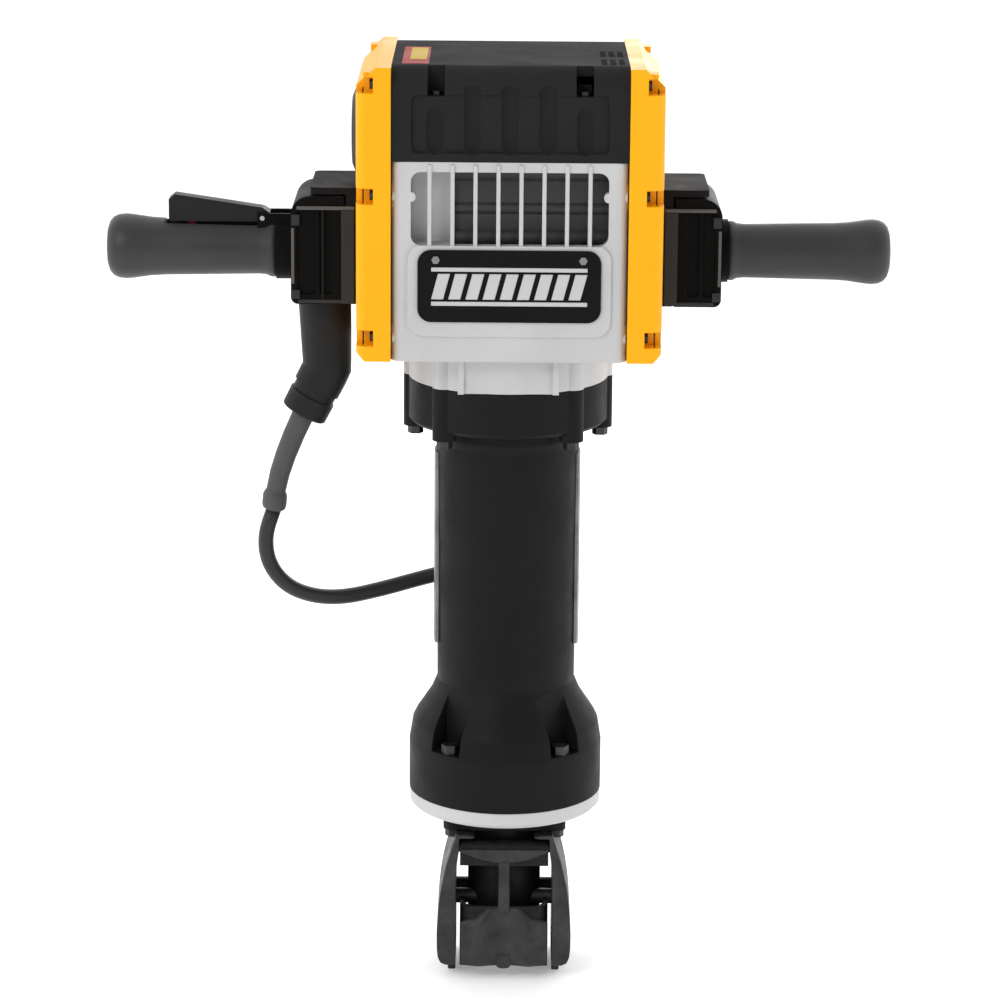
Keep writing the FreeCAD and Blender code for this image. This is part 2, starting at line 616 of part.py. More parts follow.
def armature():
    """The rotor: shaft with its cut pinion, laminated core, windings' ends and commutator."""
    shaft = turned("X", [
        (0, "gear_one_left"), ("shaft_radius", "gear_one_left"), ("shaft_radius", "motor_shaft_right"),
        (0, "motor_shaft_right"),
    ], MOTOR)
    pinion = gear("X", MODULE["first"], TEETH["motor_pinion"], "gear_one_left", "gear_one_right",
                  MOTOR, 0, first_gap=0.5)
    core = turned("X", [
        (0, "stator_left - 2"), ("core_radius - 6", "stator_left - 2"), ("core_radius - 4", "stator_left + 4"),
        ("core_radius", "stator_left + 6"), ("core_radius", "stator_right - 6"),
        ("core_radius - 4", "stator_right - 4"), ("core_radius - 6", "stator_right + 2"),
        ("commutator_radius", "commutator_left"), ("commutator_radius", "commutator_right"),
        (0, "commutator_right"),
    ], MOTOR)
    return fuse(shaft, pinion, core)


def fan():
    """A drum fan pressed on the rotor shaft."""
    hub = ring("X", "fan_hub", "shaft_radius", "fan_left", "fan_right", MOTOR)
    plate = ring("X", "fan_radius", "fan_hub - 1", "fan_right - 2", "fan_right", MOTOR)
    blades = []
    for turn_by in range(0, 360, 30):
        blade = doc.addObject("Part::Box", "blade")
        bind(blade, "Length", "fan_right - fan_left - 1")
        bind(blade, "Width", "fan_blade")
        bind(blade, "Height", "fan_radius - fan_hub")
        tilt = Rotation(Vector(1, 0, 0), turn_by)
        start = tilt.multVec(Vector(0, 0, size("fan_hub - 0.5")))
        blade.Placement = Placement(
            Vector(size("fan_left"), start.y, size("motor_level") + start.z), tilt)
        blades.append(blade)
    return fuse(hub, plate, *blades)


def stator():
    """The field core with its two windings showing at each end."""
    core = ring("X", "stator_radius", "stator_bore", "stator_left", "stator_right", MOTOR)
    flats = box(("stator_left + 10", "stator_right - 10"), ("-stator_radius", "stator_radius"),
                ("motor_level + stator_radius - 4", "motor_level + stator_radius + 5"))
    return cut(core, flats)


def air_guide(facing):
    """A ribbed wall between the motor and the grille; it turns the air down around the stator."""
    wall_y = tuple(sorted((f"{facing} * (guide_face - guide_wall)", f"{facing} * guide_face"), key=size))
    wall = box(("web_right", "motor_side"), wall_y, ("guide_low", "cover_joint"))
    ribs = [
        rod("X", radius, "web_right", "motor_side", (f"{facing} * (guide_face - guide_wall / 2)", level))
        for radius, level in ((7, "guide_low + 8"), (5, "guide_low + 32"), (8, "guide_low + 62"))
    ]
    return fuse(wall, *ribs)


def brush_holders():
    """The two brush tubes with their caps, and the air guides of the same moulding."""
    middle = "(commutator_left + commutator_right) / 2"
    holders = []
    for facing in (-1, 1):
        y = tuple(sorted((f"{facing} * (commutator_radius + 0.3)", f"{facing} * brush_outer"), key=size))
        holders.append(box((f"{middle} - brush_half", f"{middle} + brush_half"), y,
                           ("motor_level - brush_half", "motor_level + brush_half")))
        cap = tuple(sorted((f"{facing} * brush_outer", f"{facing} * (brush_outer + 6)"), key=size))
        holders.append(rod("Y", "brush_half + 3", *cap, (middle, "motor_level")))
    return group([fuse(*holders[:2]), fuse(*holders[2:]), air_guide(-1), air_guide(1)])


def intermediate_gear():
    """One shaft with the large gear of the first pair and the small gear of the second."""
    wheel = gear("X", MODULE["first"], TEETH["idler_gear"], "gear_one_left", "gear_one_right", IDLER, 0)
    pinion = gear("X", MODULE["second"], TEETH["idler_pinion"], "idler_pinion_left",
                  "idler_pinion_right", IDLER, 0)
    shaft = rod("X", "shaft_radius", "-housing_side - 5", "web_right + 1", IDLER)
    return fuse(wheel, pinion, shaft)


def crankshaft():
    """Crank gear, shaft, disc and the stub of the crank pin, at top dead centre."""
    wheel = gear("X", MODULE["second"], TEETH["crank_gear"], "gear_two_left", "gear_two_right", CRANK, 0)
    windows = [
        rod("X", 7, "gear_two_left - 1", "gear_two_right + 1",
            (f"28 * cos({angle})", f"crank_level + 28 * sin({angle})"))
        for angle in range(0, 360, 60)
    ]
    shaft = rod("X", "crank_radius", "gear_two_right - 1", "disc_left + 1", CRANK)
    disc = rod("X", "disc_radius", "disc_left", "disc_right", CRANK)
    pin = rod("X", "pin_radius", "disc_right - 1", "disc_right + pin_stub",
              (0, "crank_level + crank_throw"))
    relief = box(("disc_left - 1", "disc_right + 1"), ("-disc_radius", "disc_radius"),
                 ("crank_level + crank_throw + pin_radius + 1", "crank_level + disc_radius + 5"))
    return fuse(cut(wheel, *windows), shaft, cut(disc, relief), pin)


def connecting_rod():
    """The rod from the crank pin down to the wrist pin; it shows at top dead centre."""
    top = "crank_level + crank_throw"
    foot = "crank_level + crank_throw - rod_length"
    eye = rod("X", "rod_eye", "-rod_half", "rod_half", (0, top))
    small = rod("X", "rod_foot", "-rod_half", "rod_half", (0, foot))
    shank = box(("-rod_half + 2", "rod_half - 2"), (-7, 7), (foot, top))
    bores = [
        rod("X", "pin_radius + 0.2", "-rod_half - 1", "rod_half + 1", (0, top)),
        rod("X", "wrist_radius + 0.02", "-rod_half - 1", "rod_half + 1", (0, foot)),
    ]
    return cut(fuse(eye, small, shank), *bores)


def piston():
    """A hollow piston: a crown below, a skirt around the rod's foot."""
    body = turned("Z", [
        (0, "piston_floor"), ("piston_radius", "piston_floor"), ("piston_radius", "piston_floor + 5"),
        ("piston_radius - ring_inset", "piston_floor + 5"),
        ("piston_radius - ring_inset", "piston_floor + 5 + ring_height"),
        ("piston_radius", "piston_floor + 5 + ring_height"), ("piston_radius", "piston_top"),
        (28, "piston_top"), (28, "piston_floor + piston_crown"), (0, "piston_floor + piston_crown"),
    ])
    bosses = [
        common(box(x, (-10, 10), ("piston_floor + piston_crown - 1", "piston_top - 4")),
               rod("Z", "piston_radius - 1", "piston_floor", "piston_top"))
        for x in (("-piston_radius", "-rod_half - 1"), ("rod_half + 1", "piston_radius"))
    ]
    bore = rod("X", "wrist_radius", "-40", "40", (0, "crank_level + crank_throw - rod_length"))
    return cut(fuse(body, *bosses), bore)


node("armature", armature())
node("motor_fan", fan())
node("stator", stator())
node("brush_holders", brush_holders())
node("shaft_bearings", group([
    ring("X", "bearing_radius", "shaft_radius", "web_left", "web_right", MOTOR),
    ring("X", "bearing_radius", "shaft_radius", "motor_side", "motor_side + 9", MOTOR),
    ring("X", "idler_bearing_radius", "shaft_radius", "-housing_side - 6", "-housing_side", IDLER),
    ring("X", "idler_bearing_radius", "shaft_radius", "web_left", "web_right", IDLER),
    ring("X", "crank_bearing_radius", "crank_radius", "web_left", "web_left + 12", CRANK),
    ring("X", "crank_bearing_radius", "crank_radius", "crank_boss_right - 12", "crank_boss_right", CRANK),
]))
node("intermediate_gear", intermediate_gear())
node("crankshaft", crankshaft())
node("connecting_rod", connecting_rod())
node("wrist_pin", rod("X", "wrist_radius", "-piston_radius + 3", "piston_radius - 3",
                      (0, "crank_level + crank_throw - rod_length")))
node("piston", piston())


# --- Hammer train: sleeve, ram and anvil ---------------------------------------------------------

def ram():
    return turned("Z", [
        (0, "ram_floor"), ("piston_radius - 5", "ram_floor"), ("piston_radius", "ram_floor + 5"),
        ("piston_radius", "ram_top - 12"), ("piston_radius - ring_inset", "ram_top - 12"),
        ("piston_radius - ring_inset", "ram_top - 12 + ring_height"),
        ("piston_radius", "ram_top - 12 + ring_height"), ("piston_radius", "ram_top"), (0, "ram_top"),
    ])


def packing(floor):
    """A rubber ring that fills a groove of the piston or ram."""
    return ring("Z", "piston_radius + running_gap / 2", "piston_radius - ring_inset", floor,
                f"{floor} + ring_height")


def anvil():
    """The stepped beat piece between the ram and the bit."""
    return turned("Z", [
        (0, "anvil_floor"), ("anvil_shank - 5", "anvil_floor"), ("anvil_shank", "anvil_floor + 6"),
        ("anvil_shank", "anvil_shoulder"), ("anvil_head - 3", "anvil_shoulder"),
        ("anvil_head", "anvil_shoulder + 3"), ("anvil_head", "anvil_top - 4"),
        ("anvil_head - 4", "anvil_top"), (0, "anvil_top"),
    ])


node("cylinder_sleeve", turned("Z", [
    ("sleeve_bore", "sleeve_floor"), ("sleeve_radius", "sleeve_floor"), ("sleeve_radius", "sleeve_top"),
    ("sleeve_bore + 1.5", "sleeve_top"), ("sleeve_bore", "sleeve_top - 4"),
]))
node("front_buffer", ring("Z", "sleeve_bore", "buffer_bore", "buffer_floor", "buffer_top"))
node("piston_ring", packing("piston_floor + 5"))
node("ram", ram())
node("ram_ring", packing("ram_top - 12"))
node("anvil", anvil())
node("anvil_guide", ring("Z", "guide_radius", "anvil_shank + running_gap", "guide_floor", "guide_top"))


# --- Barrel ----------------------------------------------------------------------------------

base_bolts = node("barrel_base_bolts", group([
    screw("Z", 7.5, 4.5, "pocket_floor", "pocket_floor + 8", "ring_lower + 2", at)
    for at in spread(4, "base_bolt_circle", "base_bolt_spread")
]))
nose_bolts = node("nose_flange_bolts", group([
    screw("Z", 6.5, 4, "flange_lower", "flange_lower - 7", "ring_lower + 12",
          (f"{sx} * nose_bolt_x", f"{sy} * nose_bolt_y"))
    for sx in (-1, 1) for sy in (-1, 1)
]))


def barrel_housing():
    """The long black casting: bolt flange on top, flare and four bolt pockets at the foot."""
    body = turned("Z", [
        ("sleeve_radius", "neck_floor"), ("neck_radius", "neck_floor"), ("neck_radius", "flange_floor + 3"),
        ("neck_radius - 3", "flange_floor"), ("flange_step_radius", "flange_floor"),
        ("flange_step_radius", "flange_step + 4"), ("barrel_top_radius", "flange_step - 3"),
        ("barrel_radius", "flare_top"), ("barrel_radius + 5", "flare_top - 12"),
        ("flare_radius - 3", "flare_floor + 6"), ("flare_radius", "flare_floor"),
        ("rim_radius", "rim_upper"), ("rim_radius", "rim_lower"), ("guide_radius", "rim_lower"),
        ("guide_radius", "guide_top"), ("sleeve_bore", "guide_top"), ("sleeve_bore", "sleeve_floor"),
        ("sleeve_radius", "sleeve_floor"), ("sleeve_radius", "sleeve_floor + 22"),
        ("barrel_air", "sleeve_floor + 36"), ("barrel_air", "flange_step - 14"),
        ("sleeve_radius", "flange_step"),
    ])
    columns = [rod("Z", "bolt_column", "column_floor", "neck_floor", at) for at in barrel_spots()]
    # Radial pockets that leave room for a socket over each base bolt.
    pockets = []
    for turn_by in ("base_bolt_spread", "180 - base_bolt_spread", "180 + base_bolt_spread",
                    "-base_bolt_spread"):
        pocket = doc.addObject("Part::Box", "pocket")
        for prop, expression in (("Length", "2 * pocket_half"), ("Width", 40), ("Height", 60)):
            bind(pocket, prop, expression)
        spin = Rotation(Vector(0, 0, 1), size(turn_by))
        corner = spin.multVec(Vector(-size("pocket_half"), size("pocket_inner"), size("pocket_floor")))
        pocket.Placement = Placement(corner, spin)
        pockets.append(pocket)
    strips = [
        box(tuple(sorted((f"{side} * (barrel_radius - 1)", f"{side} * (strip_outer + 3)"), key=size)),
            ("-strip_half - 0.3", "strip_half + 0.3"), ("strip_floor - 0.3", "strip_top + 0.3"))
        for side in (-1, 1)
    ]
    return cut(fuse(body, *columns), *pockets, *strips, barrel_bolts, base_bolts)


def barrel_strip(side):
    """A thin bright guard strip let into the side of the barrel."""
    curve = ring("Z", "strip_outer", "barrel_radius - 1", "strip_floor", "strip_top")
    reach = tuple(sorted((f"{side} * (barrel_radius - 1)", f"{side} * (strip_outer + 3)"), key=size))
    return common(curve, box(reach, ("-strip_half", "strip_half"), ("strip_floor", "strip_top")))


node("barrel_housing", barrel_housing())
node("barrel_strips", group([barrel_strip(side) for side in SIDES.values()]))
node("clamp_ring", cut(turned("Z", [
    ("anvil_shank + 1", "ring_lower"), ("ring_radius - ring_chamfer", "ring_lower"),
    ("ring_radius", "ring_lower + ring_chamfer"), ("ring_radius", "rim_lower"),
    ("anvil_shank + 1", "rim_lower"),
]), base_bolts, nose_bolts))


# --- Nose ------------------------------------------------------------------------------------

def hexagon(low, high):
    """The bit's hexagon, with two flats facing the front and rear."""
    return prism("Z", "hex_flats / sqrt(3)", low, high)


def nose_block():
    flange = block(("-flange_half", "flange_half"), ("-flange_depth", "flange_depth"),
                   ("flange_lower", "ring_lower"), "Z", 8)
    tube = rod("Z", "nose_radius", "nose_floor", "flange_lower + 1")
    pads = [
        box(tuple(sorted((f"{side} * 26", f"{side} * arm_inner"), key=size)),
            ("-9", "9"), ("flange_lower - 24", "flange_lower + 1"))
        for side in (-1, 1)
    ]
    bores = [
        rod("Z", "bushing_radius", "nose_floor - 1", "bushing_top"),
        rod("Z", "anvil_shank + 1", "bushing_top - 1", "ring_lower + 1"),
    ]
    return cut(fuse(flange, tube, *pads), *bores, nose_bolts, stay_bolts)


def guard_arm(side):
    """A curved cheek plate from the flange down to its foot; both cheeks are the feet."""
    outline = [
        (f"{side} * arm_inner", 0), (f"{side} * arm_foot", 0), (f"{side} * (arm_foot + 0.8)", 10),
        (f"{side} * (arm_waist - 3)", 11), (f"{side} * (arm_waist - 1)", 15),
        (f"{side} * arm_waist", 35), (f"{side} * (arm_waist - 0.6)", 57),
        (f"{side} * (arm_waist - 2.4)", 79), (f"{side} * (arm_waist - 5.6)", 100),
        (f"{side} * (arm_waist - 9)", 115), (f"{side} * arm_neck", "flange_lower"),
        (f"{side} * arm_inner", "flange_lower"),
    ]
    plate = slab("XZ_Plane", outline, "latch_pin_y - 8", "arm_depth")
    hollow = box(tuple(sorted((f"{side} * (arm_foot - 0.5)", f"{side} * 60"), key=size)),
                 ("latch_pin_y + 6", "arm_depth - 6"), (38, 96))
    boss = rod("X", 11, *sorted((f"{side} * arm_inner", f"{side} * arm_waist"), key=size),
               ("stay_y", "stay_level"))
    pin = rod("X", "latch_pin_radius", "-70", "70", ("latch_pin_y", "latch_pin_z"))
    return cut(fuse(cut(plate, hollow), boss), pin, stay_bolts, nose_bolts)


def bit_latch():
    """The swinging retainer: hinge barrel, rib, and a cup whose slotted floor holds the bit."""
    barrel = rod("X", "latch_barrel", "-latch_half", "latch_half", ("latch_pin_y", "latch_pin_z"))
    web = [
        ("cup_front", "cup_floor"), ("plate_rear", "cup_floor"), ("plate_rear", "cup_floor + cup_plate"),
        ("cup_front + cup_wall", "cup_floor + cup_plate"), ("cup_front + rib_thick", "cup_top"),
        ("cup_front + rib_thick", "latch_pin_z - 8"), ("latch_pin_y", "latch_pin_z"),
        ("cup_front + 1", "latch_pin_z"), ("cup_front", "latch_pin_z - 6"),
    ]
    spine = slab("YZ_Plane", web, "-rib_half", "rib_half")
    band = slab("YZ_Plane", [
        ("cup_front", "latch_pin_z - 14"), ("cup_front + rib_thick - 1", "latch_pin_z - 14"),
        ("cup_front + rib_thick", "latch_pin_z - 7"), ("latch_pin_y", "latch_pin_z"),
        ("cup_front + 1", "latch_pin_z"), ("cup_front", "latch_pin_z - 5"),
    ], "-latch_half", "latch_half")
    cup = cut(
        block(("-latch_half", "latch_half"), ("cup_front", "cup_rear"), ("cup_floor", "cup_top"), "Z", 12),
        block(("-latch_half + cup_wall", "latch_half - cup_wall"),
              ("cup_front + cup_wall", "cup_rear + 40"), ("cup_floor + cup_plate", "cup_top + 1"), "Z", 9),
        box(("-latch_half - 1", "latch_half + 1"), ("cup_rear - 13", "cup_rear + 1"),
            ("cup_floor - 1", "cup_floor + cup_plate")))
    floor = block(("-latch_half", "latch_half"), ("cup_rear - 20", "plate_rear"),
                  ("cup_floor", "cup_floor + cup_plate"), "Z", 7)
    slot = fuse(rod("Z", "slot_half", "cup_floor - 1", "cup_floor + cup_plate + 1"),
                box(("-slot_half", "slot_half"), ("0", "plate_rear + 5"),
                    ("cup_floor - 1", "cup_floor + cup_plate + 1")))
    pin = rod("X", "latch_pin_radius + 0.05", "-70", "70", ("latch_pin_y", "latch_pin_z"))
    inner = rod("Z", "nose_radius + 0.5", "cup_floor + cup_plate", "latch_pin_z + 20")
    return cut(fuse(barrel, spine, band, cup, floor), slot, pin, inner)


stay_bolts = node("arm_stay_bolts", group([
    fuse(prism("X", 8, *sorted((f"{side} * arm_waist", f"{side} * (arm_waist + 3)"), key=size),
               ("stay_y", "stay_level")),
         rod("X", "stay_radius", *sorted((f"{side} * 26.5", f"{side} * arm_waist"), key=size),
             ("stay_y", "stay_level")))
    for side in (-1, 1)
]))
node("latch_pin", rod("X", "latch_pin_radius", "-arm_waist + 2", "arm_waist - 2",
                      ("latch_pin_y", "latch_pin_z")))
node("nose_block", nose_block())
node("hex_bushing", cut(
    ring("Z", "bushing_radius", 5, "nose_floor", "bushing_top"), hexagon("nose_floor - 1", "bushing_top + 1"),
    rod("Z", "mouth_radius", "nose_floor - 1", "nose_floor + mouth_depth")))
for side_name, side_sign in SIDES.items():
    node(f"guard_arm_{side_name}", guard_arm(side_sign))
node("bit_latch", bit_latch())


# --- Handles: mount, sprung bracket, grip ----------------------------------------------------------

def outward(side, near, far):
    """A range along X that reaches outward from near to far on one side."""
    return tuple(sorted((f"{side} * ({near})", f"{side} * ({far})"), key=size))


def own(side, alias):
    """The name of a size that differs between the two handles."""
    return ("left_" if side < 0 else "right_") + alias


def spring(radius, wire, turns, floor, top, at):
    """A helical compression spring about a vertical line."""
    low = size(floor) + wire
    height = size(top) - size(floor) - 2 * wire
    pitch = height / turns
    helix = Part.makeHelix(pitch, height, radius)
    heading = Vector(0, 2 * math.pi * radius, pitch)
    circle = Part.Wire(Part.makeCircle(wire, Vector(radius, 0, 0), heading))
    coil = doc.addObject("Part::Feature", "spring")
    coil.Shape = Part.Wire(helix.Edges).makePipeShell([circle], True, True)
    coil.Placement = Placement(Vector(size(at[0]), size(at[1]), low), Rotation())
    return coil


def handle_mount(side, bolts):
    """The fixed half: a plate on the cast pad, a hood, and two arms that hold the guide rods."""
    boss = box(outward(side, "pad_face", "shell_half"), ("-pad_half", "pad_half"), ("pad_floor", "pad_top"))
    plate = block(outward(side, "shell_half", "mount_face"), ("-mount_half", "mount_half"),
                  ("mount_floor", "mount_top"), "X", 6)
    hood = block(outward(side, "shell_half", "hood_outer"), ("-mount_half", "mount_half"),
                 ("bracket_top + 1.5", "hood_top"), "Z", 5)
    arms = [
        block(outward(side, "mount_face - 1", own(side, "arm_reach")), ("-mount_arm_half", "mount_arm_half"),
              (floor, f"{floor} + mount_arm_thick"), "Z", 4)
        for floor in ("upper_arm - mount_arm_thick", "lower_arm")
    ]
    holes = [
        rod("Z", "slide_rod_radius", "lower_arm", "upper_arm", (f"{side} * slide_rod_x", f"{sy} * slide_rod_y"))
        for sy in (-1, 1)
    ]
    return cut(fuse(boss, plate, hood, *arms), *holes, *bolts)


def slide_rods(side):
    return group([
        rod("Z", "slide_rod_radius", "lower_arm", "upper_arm", (f"{side} * slide_rod_x", f"{sy} * slide_rod_y"))
        for sy in (-1, 1)
    ])


def handle_bracket(side):
    """The moving half: a hollow box open towards the head, with a slider on each guide rod."""
    outer = own(side, "bracket_outer")
    root = own(side, "grip_inner")
    outline = [
        (f"{side} * bracket_inner", "bracket_floor"), (f"{side} * {outer}", "bracket_floor"),
        (f"{side} * {outer}", "bracket_top"), (f"{side} * bracket_inner", "bracket_top"),
    ]
    shell = slab("XZ_Plane", outline, "-bracket_half", "bracket_half")
    side_edges = along("Y")
    middle = SIZES["bracket_inner"] + 5
    shell = soften(shell, "Fillet", "bracket_round",
                   lambda edge: side_edges(edge) and abs(edge.Vertexes[0].X) > middle
                   and edge.Vertexes[0].Z > SIZES["grip_level"])
    shell = soften(shell, "Fillet", 6,
                   lambda edge: side_edges(edge) and abs(edge.Vertexes[0].X) > middle
                   and edge.Vertexes[0].Z < SIZES["grip_level"])
    room = block(outward(side, "bracket_inner - bracket_round", f"{outer} - bracket_wall"),
                 ("-bracket_half + bracket_wall", "bracket_half - bracket_wall"),
                 ("bracket_floor + bracket_wall", "bracket_top - bracket_wall"), "Y",
                 "bracket_round - bracket_wall")
    # Two dished panels on each face leave a rib between them and a border all round.
    panels = (("bracket_inner + 10", "bracket_inner + 20"), ("bracket_inner + 23", f"{outer} - 5"))
    dishes = [
        facing_box(facing, outward(side, *panel), "bracket_half - 2.6", "bracket_half + 5",
                   ("bracket_floor + 8", "bracket_top - 8"), "Y", 3)
        for facing in (-1, 1) for panel in panels
    ]
    collar = rod("X", "collar_radius", *outward(side, f"{outer} - 1", root), (0, "grip_level"))
    sliders = []
    for sy in (-1, 1):
        sliders.append(rod("Z", "slider_radius", "slider_floor", "slider_top",
                           (f"{side} * slide_rod_x", f"{sy} * slide_rod_y")))
        y = tuple(sorted((f"{sy} * (slide_rod_y - 5)", f"{sy} * (slide_rod_y + 5)"), key=size))
        sliders.append(box(outward(side, "slide_rod_x + 3", f"{outer} - 2"), y,
                           ("slider_floor", "slider_top")))
    bores = [
        rod("Z", "slide_rod_radius + running_gap", "slider_floor - 1", "slider_top + 1",
            (f"{side} * slide_rod_x", f"{sy} * slide_rod_y"))
        for sy in (-1, 1)
    ]
    bores.append(rod("X", "tube_radius", *outward(side, f"{outer} - 6", f"{root} + 1"),
                     (0, "grip_level")))
    bracket = cut(fuse(cut(shell, room, *dishes), collar, *sliders), *bores)
    if side > 0:
        return bracket
    lugs = [
        box(("trigger_hinge_x - 4", f"-{outer}"),
            tuple(sorted((f"{sy} * (trigger_half + 1)", f"{sy} * (trigger_half + 4)"), key=size)),
            ("trigger_slot + 1", "trigger_hinge_z + 4"))
        for sy in (-1, 1)
    ]
    pin = rod("Y", "trigger_pin_radius", "-trigger_half - 4", "trigger_half + 4",
              ("trigger_hinge_x", "trigger_hinge_z"))
    return cut(fuse(bracket, *lugs), pin)


def handle_tube(side):
    reach = outward(side, own(side, "bracket_outer") + " - bracket_wall", own(side, "grip_outer") + " - 6")
    tube = ring("X", "tube_radius", "tube_bore", *reach, (0, "grip_level"))
    if side > 0:
        return tube
    return cut(tube, rod("Z", "plunger_radius + 0.5", "grip_level", "trigger_slot", ("plunger_x", 0)))


def grip(side):
    """The rubber sleeve: a flange at the bracket, a slim waist and a knob at the end."""
    root = own(side, "grip_inner")
    tip = own(side, "grip_outer")
    profile = [
        ("tube_radius", root), ("grip_radius + 1", root), ("grip_radius + 1", f"{root} + 4"),
        ("grip_radius - 1.5", f"{root} + 9"), ("grip_radius", f"{tip} - knob_length - 14"),
        ("knob_radius - 0.6", f"{tip} - knob_length + 2"), ("knob_radius", f"{tip} - 18"),
        ("knob_radius - 1.2", f"{tip} - 10"), ("knob_radius - 5", f"{tip} - 4"),
        ("knob_radius - 11", tip), (0, tip), (0, f"{tip} - 6"), ("tube_radius", f"{tip} - 6"),
    ]
    if side > 0:
        return turned("X", profile, (0, "grip_level"))
    sleeve = turned("X", [(radius, f"-({spot})") for radius, spot in profile], (0, "grip_level"))
    slot = box(("trigger_outer - 3", f"-{root} + 1"), ("-trigger_half - 1.5", "trigger_half + 1.5"),
               ("trigger_slot", "trigger_high + 5"))
    lug_room = box(("trigger_hinge_x - 7", f"-{root} + 1"), ("-trigger_half - 4.5", "trigger_half + 4.5"),
                   ("trigger_slot", "trigger_high + 5"))
    hole = rod("Z", "plunger_radius + 0.5", "grip_level", "trigger_slot + 1", ("plunger_x", 0))
    return cut(sleeve, slot, lug_room, hole)


def trigger_lever():
    paddle = slab("XZ_Plane", [
        ("trigger_outer", "trigger_floor"), ("trigger_hinge_x + 6", "trigger_floor"),
        ("trigger_hinge_x + 6", "trigger_hinge_z + 4"), ("trigger_hinge_x", "trigger_low"),
        ("trigger_outer + 5", "trigger_high"), ("trigger_outer", "trigger_high - 4"),
    ], "-trigger_half", "trigger_half")
    # Only the two long edges of the sloping top are rounded.
    paddle = soften(paddle, "Fillet", 2.5, lambda edge: edge.BoundBox.ZMin > SIZES["trigger_low"] - 1
                    and edge.BoundBox.YLength < 0.1 and edge.BoundBox.XLength > 20)
    return cut(paddle, rod("Y", "trigger_pin_radius + 0.05", "-20", "20", ("trigger_hinge_x", "trigger_hinge_z")))


node("guide_rods", group([slide_rods(side) for side in SIDES.values()]))
for side_name, side_sign in SIDES.items():
    node(f"{side_name}_handle_mount", handle_mount(side_sign, mount_bolts[side_name]))
    node(f"{side_name}_handle_springs", group([
        spring(SIZES["spring_radius"], SIZES["spring_wire"], SIZES["spring_turns"],
               "lower_arm + mount_arm_thick", "slider_floor",
               (f"{side_sign} * slide_rod_x", f"{sy} * slide_rod_y"))
        for sy in (-1, 1)
    ]))
    node(f"{side_name}_handle_bracket", handle_bracket(side_sign))
    node(f"{side_name}_handle_tube", handle_tube(side_sign))
    node(f"{side_name}_grip", grip(side_sign))
node("trigger_lever", trigger_lever())
node("trigger_pin", rod("Y", "trigger_pin_radius", "-trigger_half - 4", "trigger_half + 4",
                        ("trigger_hinge_x", "trigger_hinge_z")))


# --- Switch in the trigger handle's tube ----------------------------------------------------------

def switch_body():
    reach = ("plunger_x - 17", "plunger_x + 17")
    lower = box(reach, ("-switch_half", "switch_half"), ("grip_level - 20", "plunger_foot - 1"))
    body = common(lower, rod("X", "tube_bore", *reach, (0, "grip_level")))
    return cut(body, rod("Z", "plunger_radius + 0.3", "plunger_foot - 6", "plunger_foot", ("plunger_x", 0)))


node("switch_body", switch_body())
node("switch_plunger", rod("Z", "plunger_radius", "plunger_foot", "trigger_floor - 0.3", ("plunger_x", 0)))


# --- Cord ------------------------------------------------------------------------------------

# The cord's route from the relief's tip round to the back of the barrel, where it joins the hank.
ROUTE = [
    (-196, 0, 402), (-204, 0, 378.3), (-201.5, 3, 354), (-188, 10, 333), (-166.5, 20, 320.5),
    (-140, 31, 316), (-107, 43, 320.5), (-72, 54, 328), (-38, 57, 336), (-8, 68, 343), (18, 71.5, 352),
]


def cord_guard():
    """The moulded spout under the trigger bracket, bent outward towards its ribbed mouth."""
    upright = rod("Z", "guard_radius", "guard_elbow", "bracket_floor", ("guard_axis", 0))
    elbow = doc.addObject("Part::Sphere", "elbow")
    bind(elbow, "Radius", "guard_radius")
    place(elbow, ("guard_axis", 0, "guard_elbow"))
    start = Vector(size("guard_axis"), 0, size("guard_elbow"))
    way = Vector(size("outlet_x"), 0, size("outlet_z")) - start
    spout = []
    for radius, near, far in (("guard_radius - 0.5", "0", "guard_mouth"),
                              ("guard_radius + 1.5", "guard_rib", "guard_rib + 5")):
        tube = doc.addObject("Part::Cylinder", "spout")
        bind(tube, "Radius", radius)
        bind(tube, "Height", f"({far}) - ({near})")
        tube.Placement = Placement(start + way.normalize() * size(near), Rotation(Vector(0, 0, 1), way))
        spout.append(tube)
    return cut(fuse(upright, elbow, *spout), strain_relief)


def relief_piece():
    """A tapered rubber relief from inside the spout to the cord, with a bead at its tip."""
    root = Vector(size("outlet_x + 3"), 0, size("outlet_z + 10"))
    tip = Vector(*ROUTE[0])
    reach = (tip - root).Length - 0.1
    bead = reach - 12
    body = turned("Z", [
        (0, 0), ("relief_root + 2", 0), ("relief_root + 2", 6), ("relief_root", 9),
        ("relief_tip", bead - 4), ("relief_bead", bead), ("relief_bead", reach - 2),
        ("relief_bead - 2", reach), (0, reach),
    ])
    for letter in "xyz":
        body.setExpression(f"Placement.Base.{letter}", None)
    body.Placement = Placement(root, Rotation(Vector(0, 0, 1), tip - root))
    return body


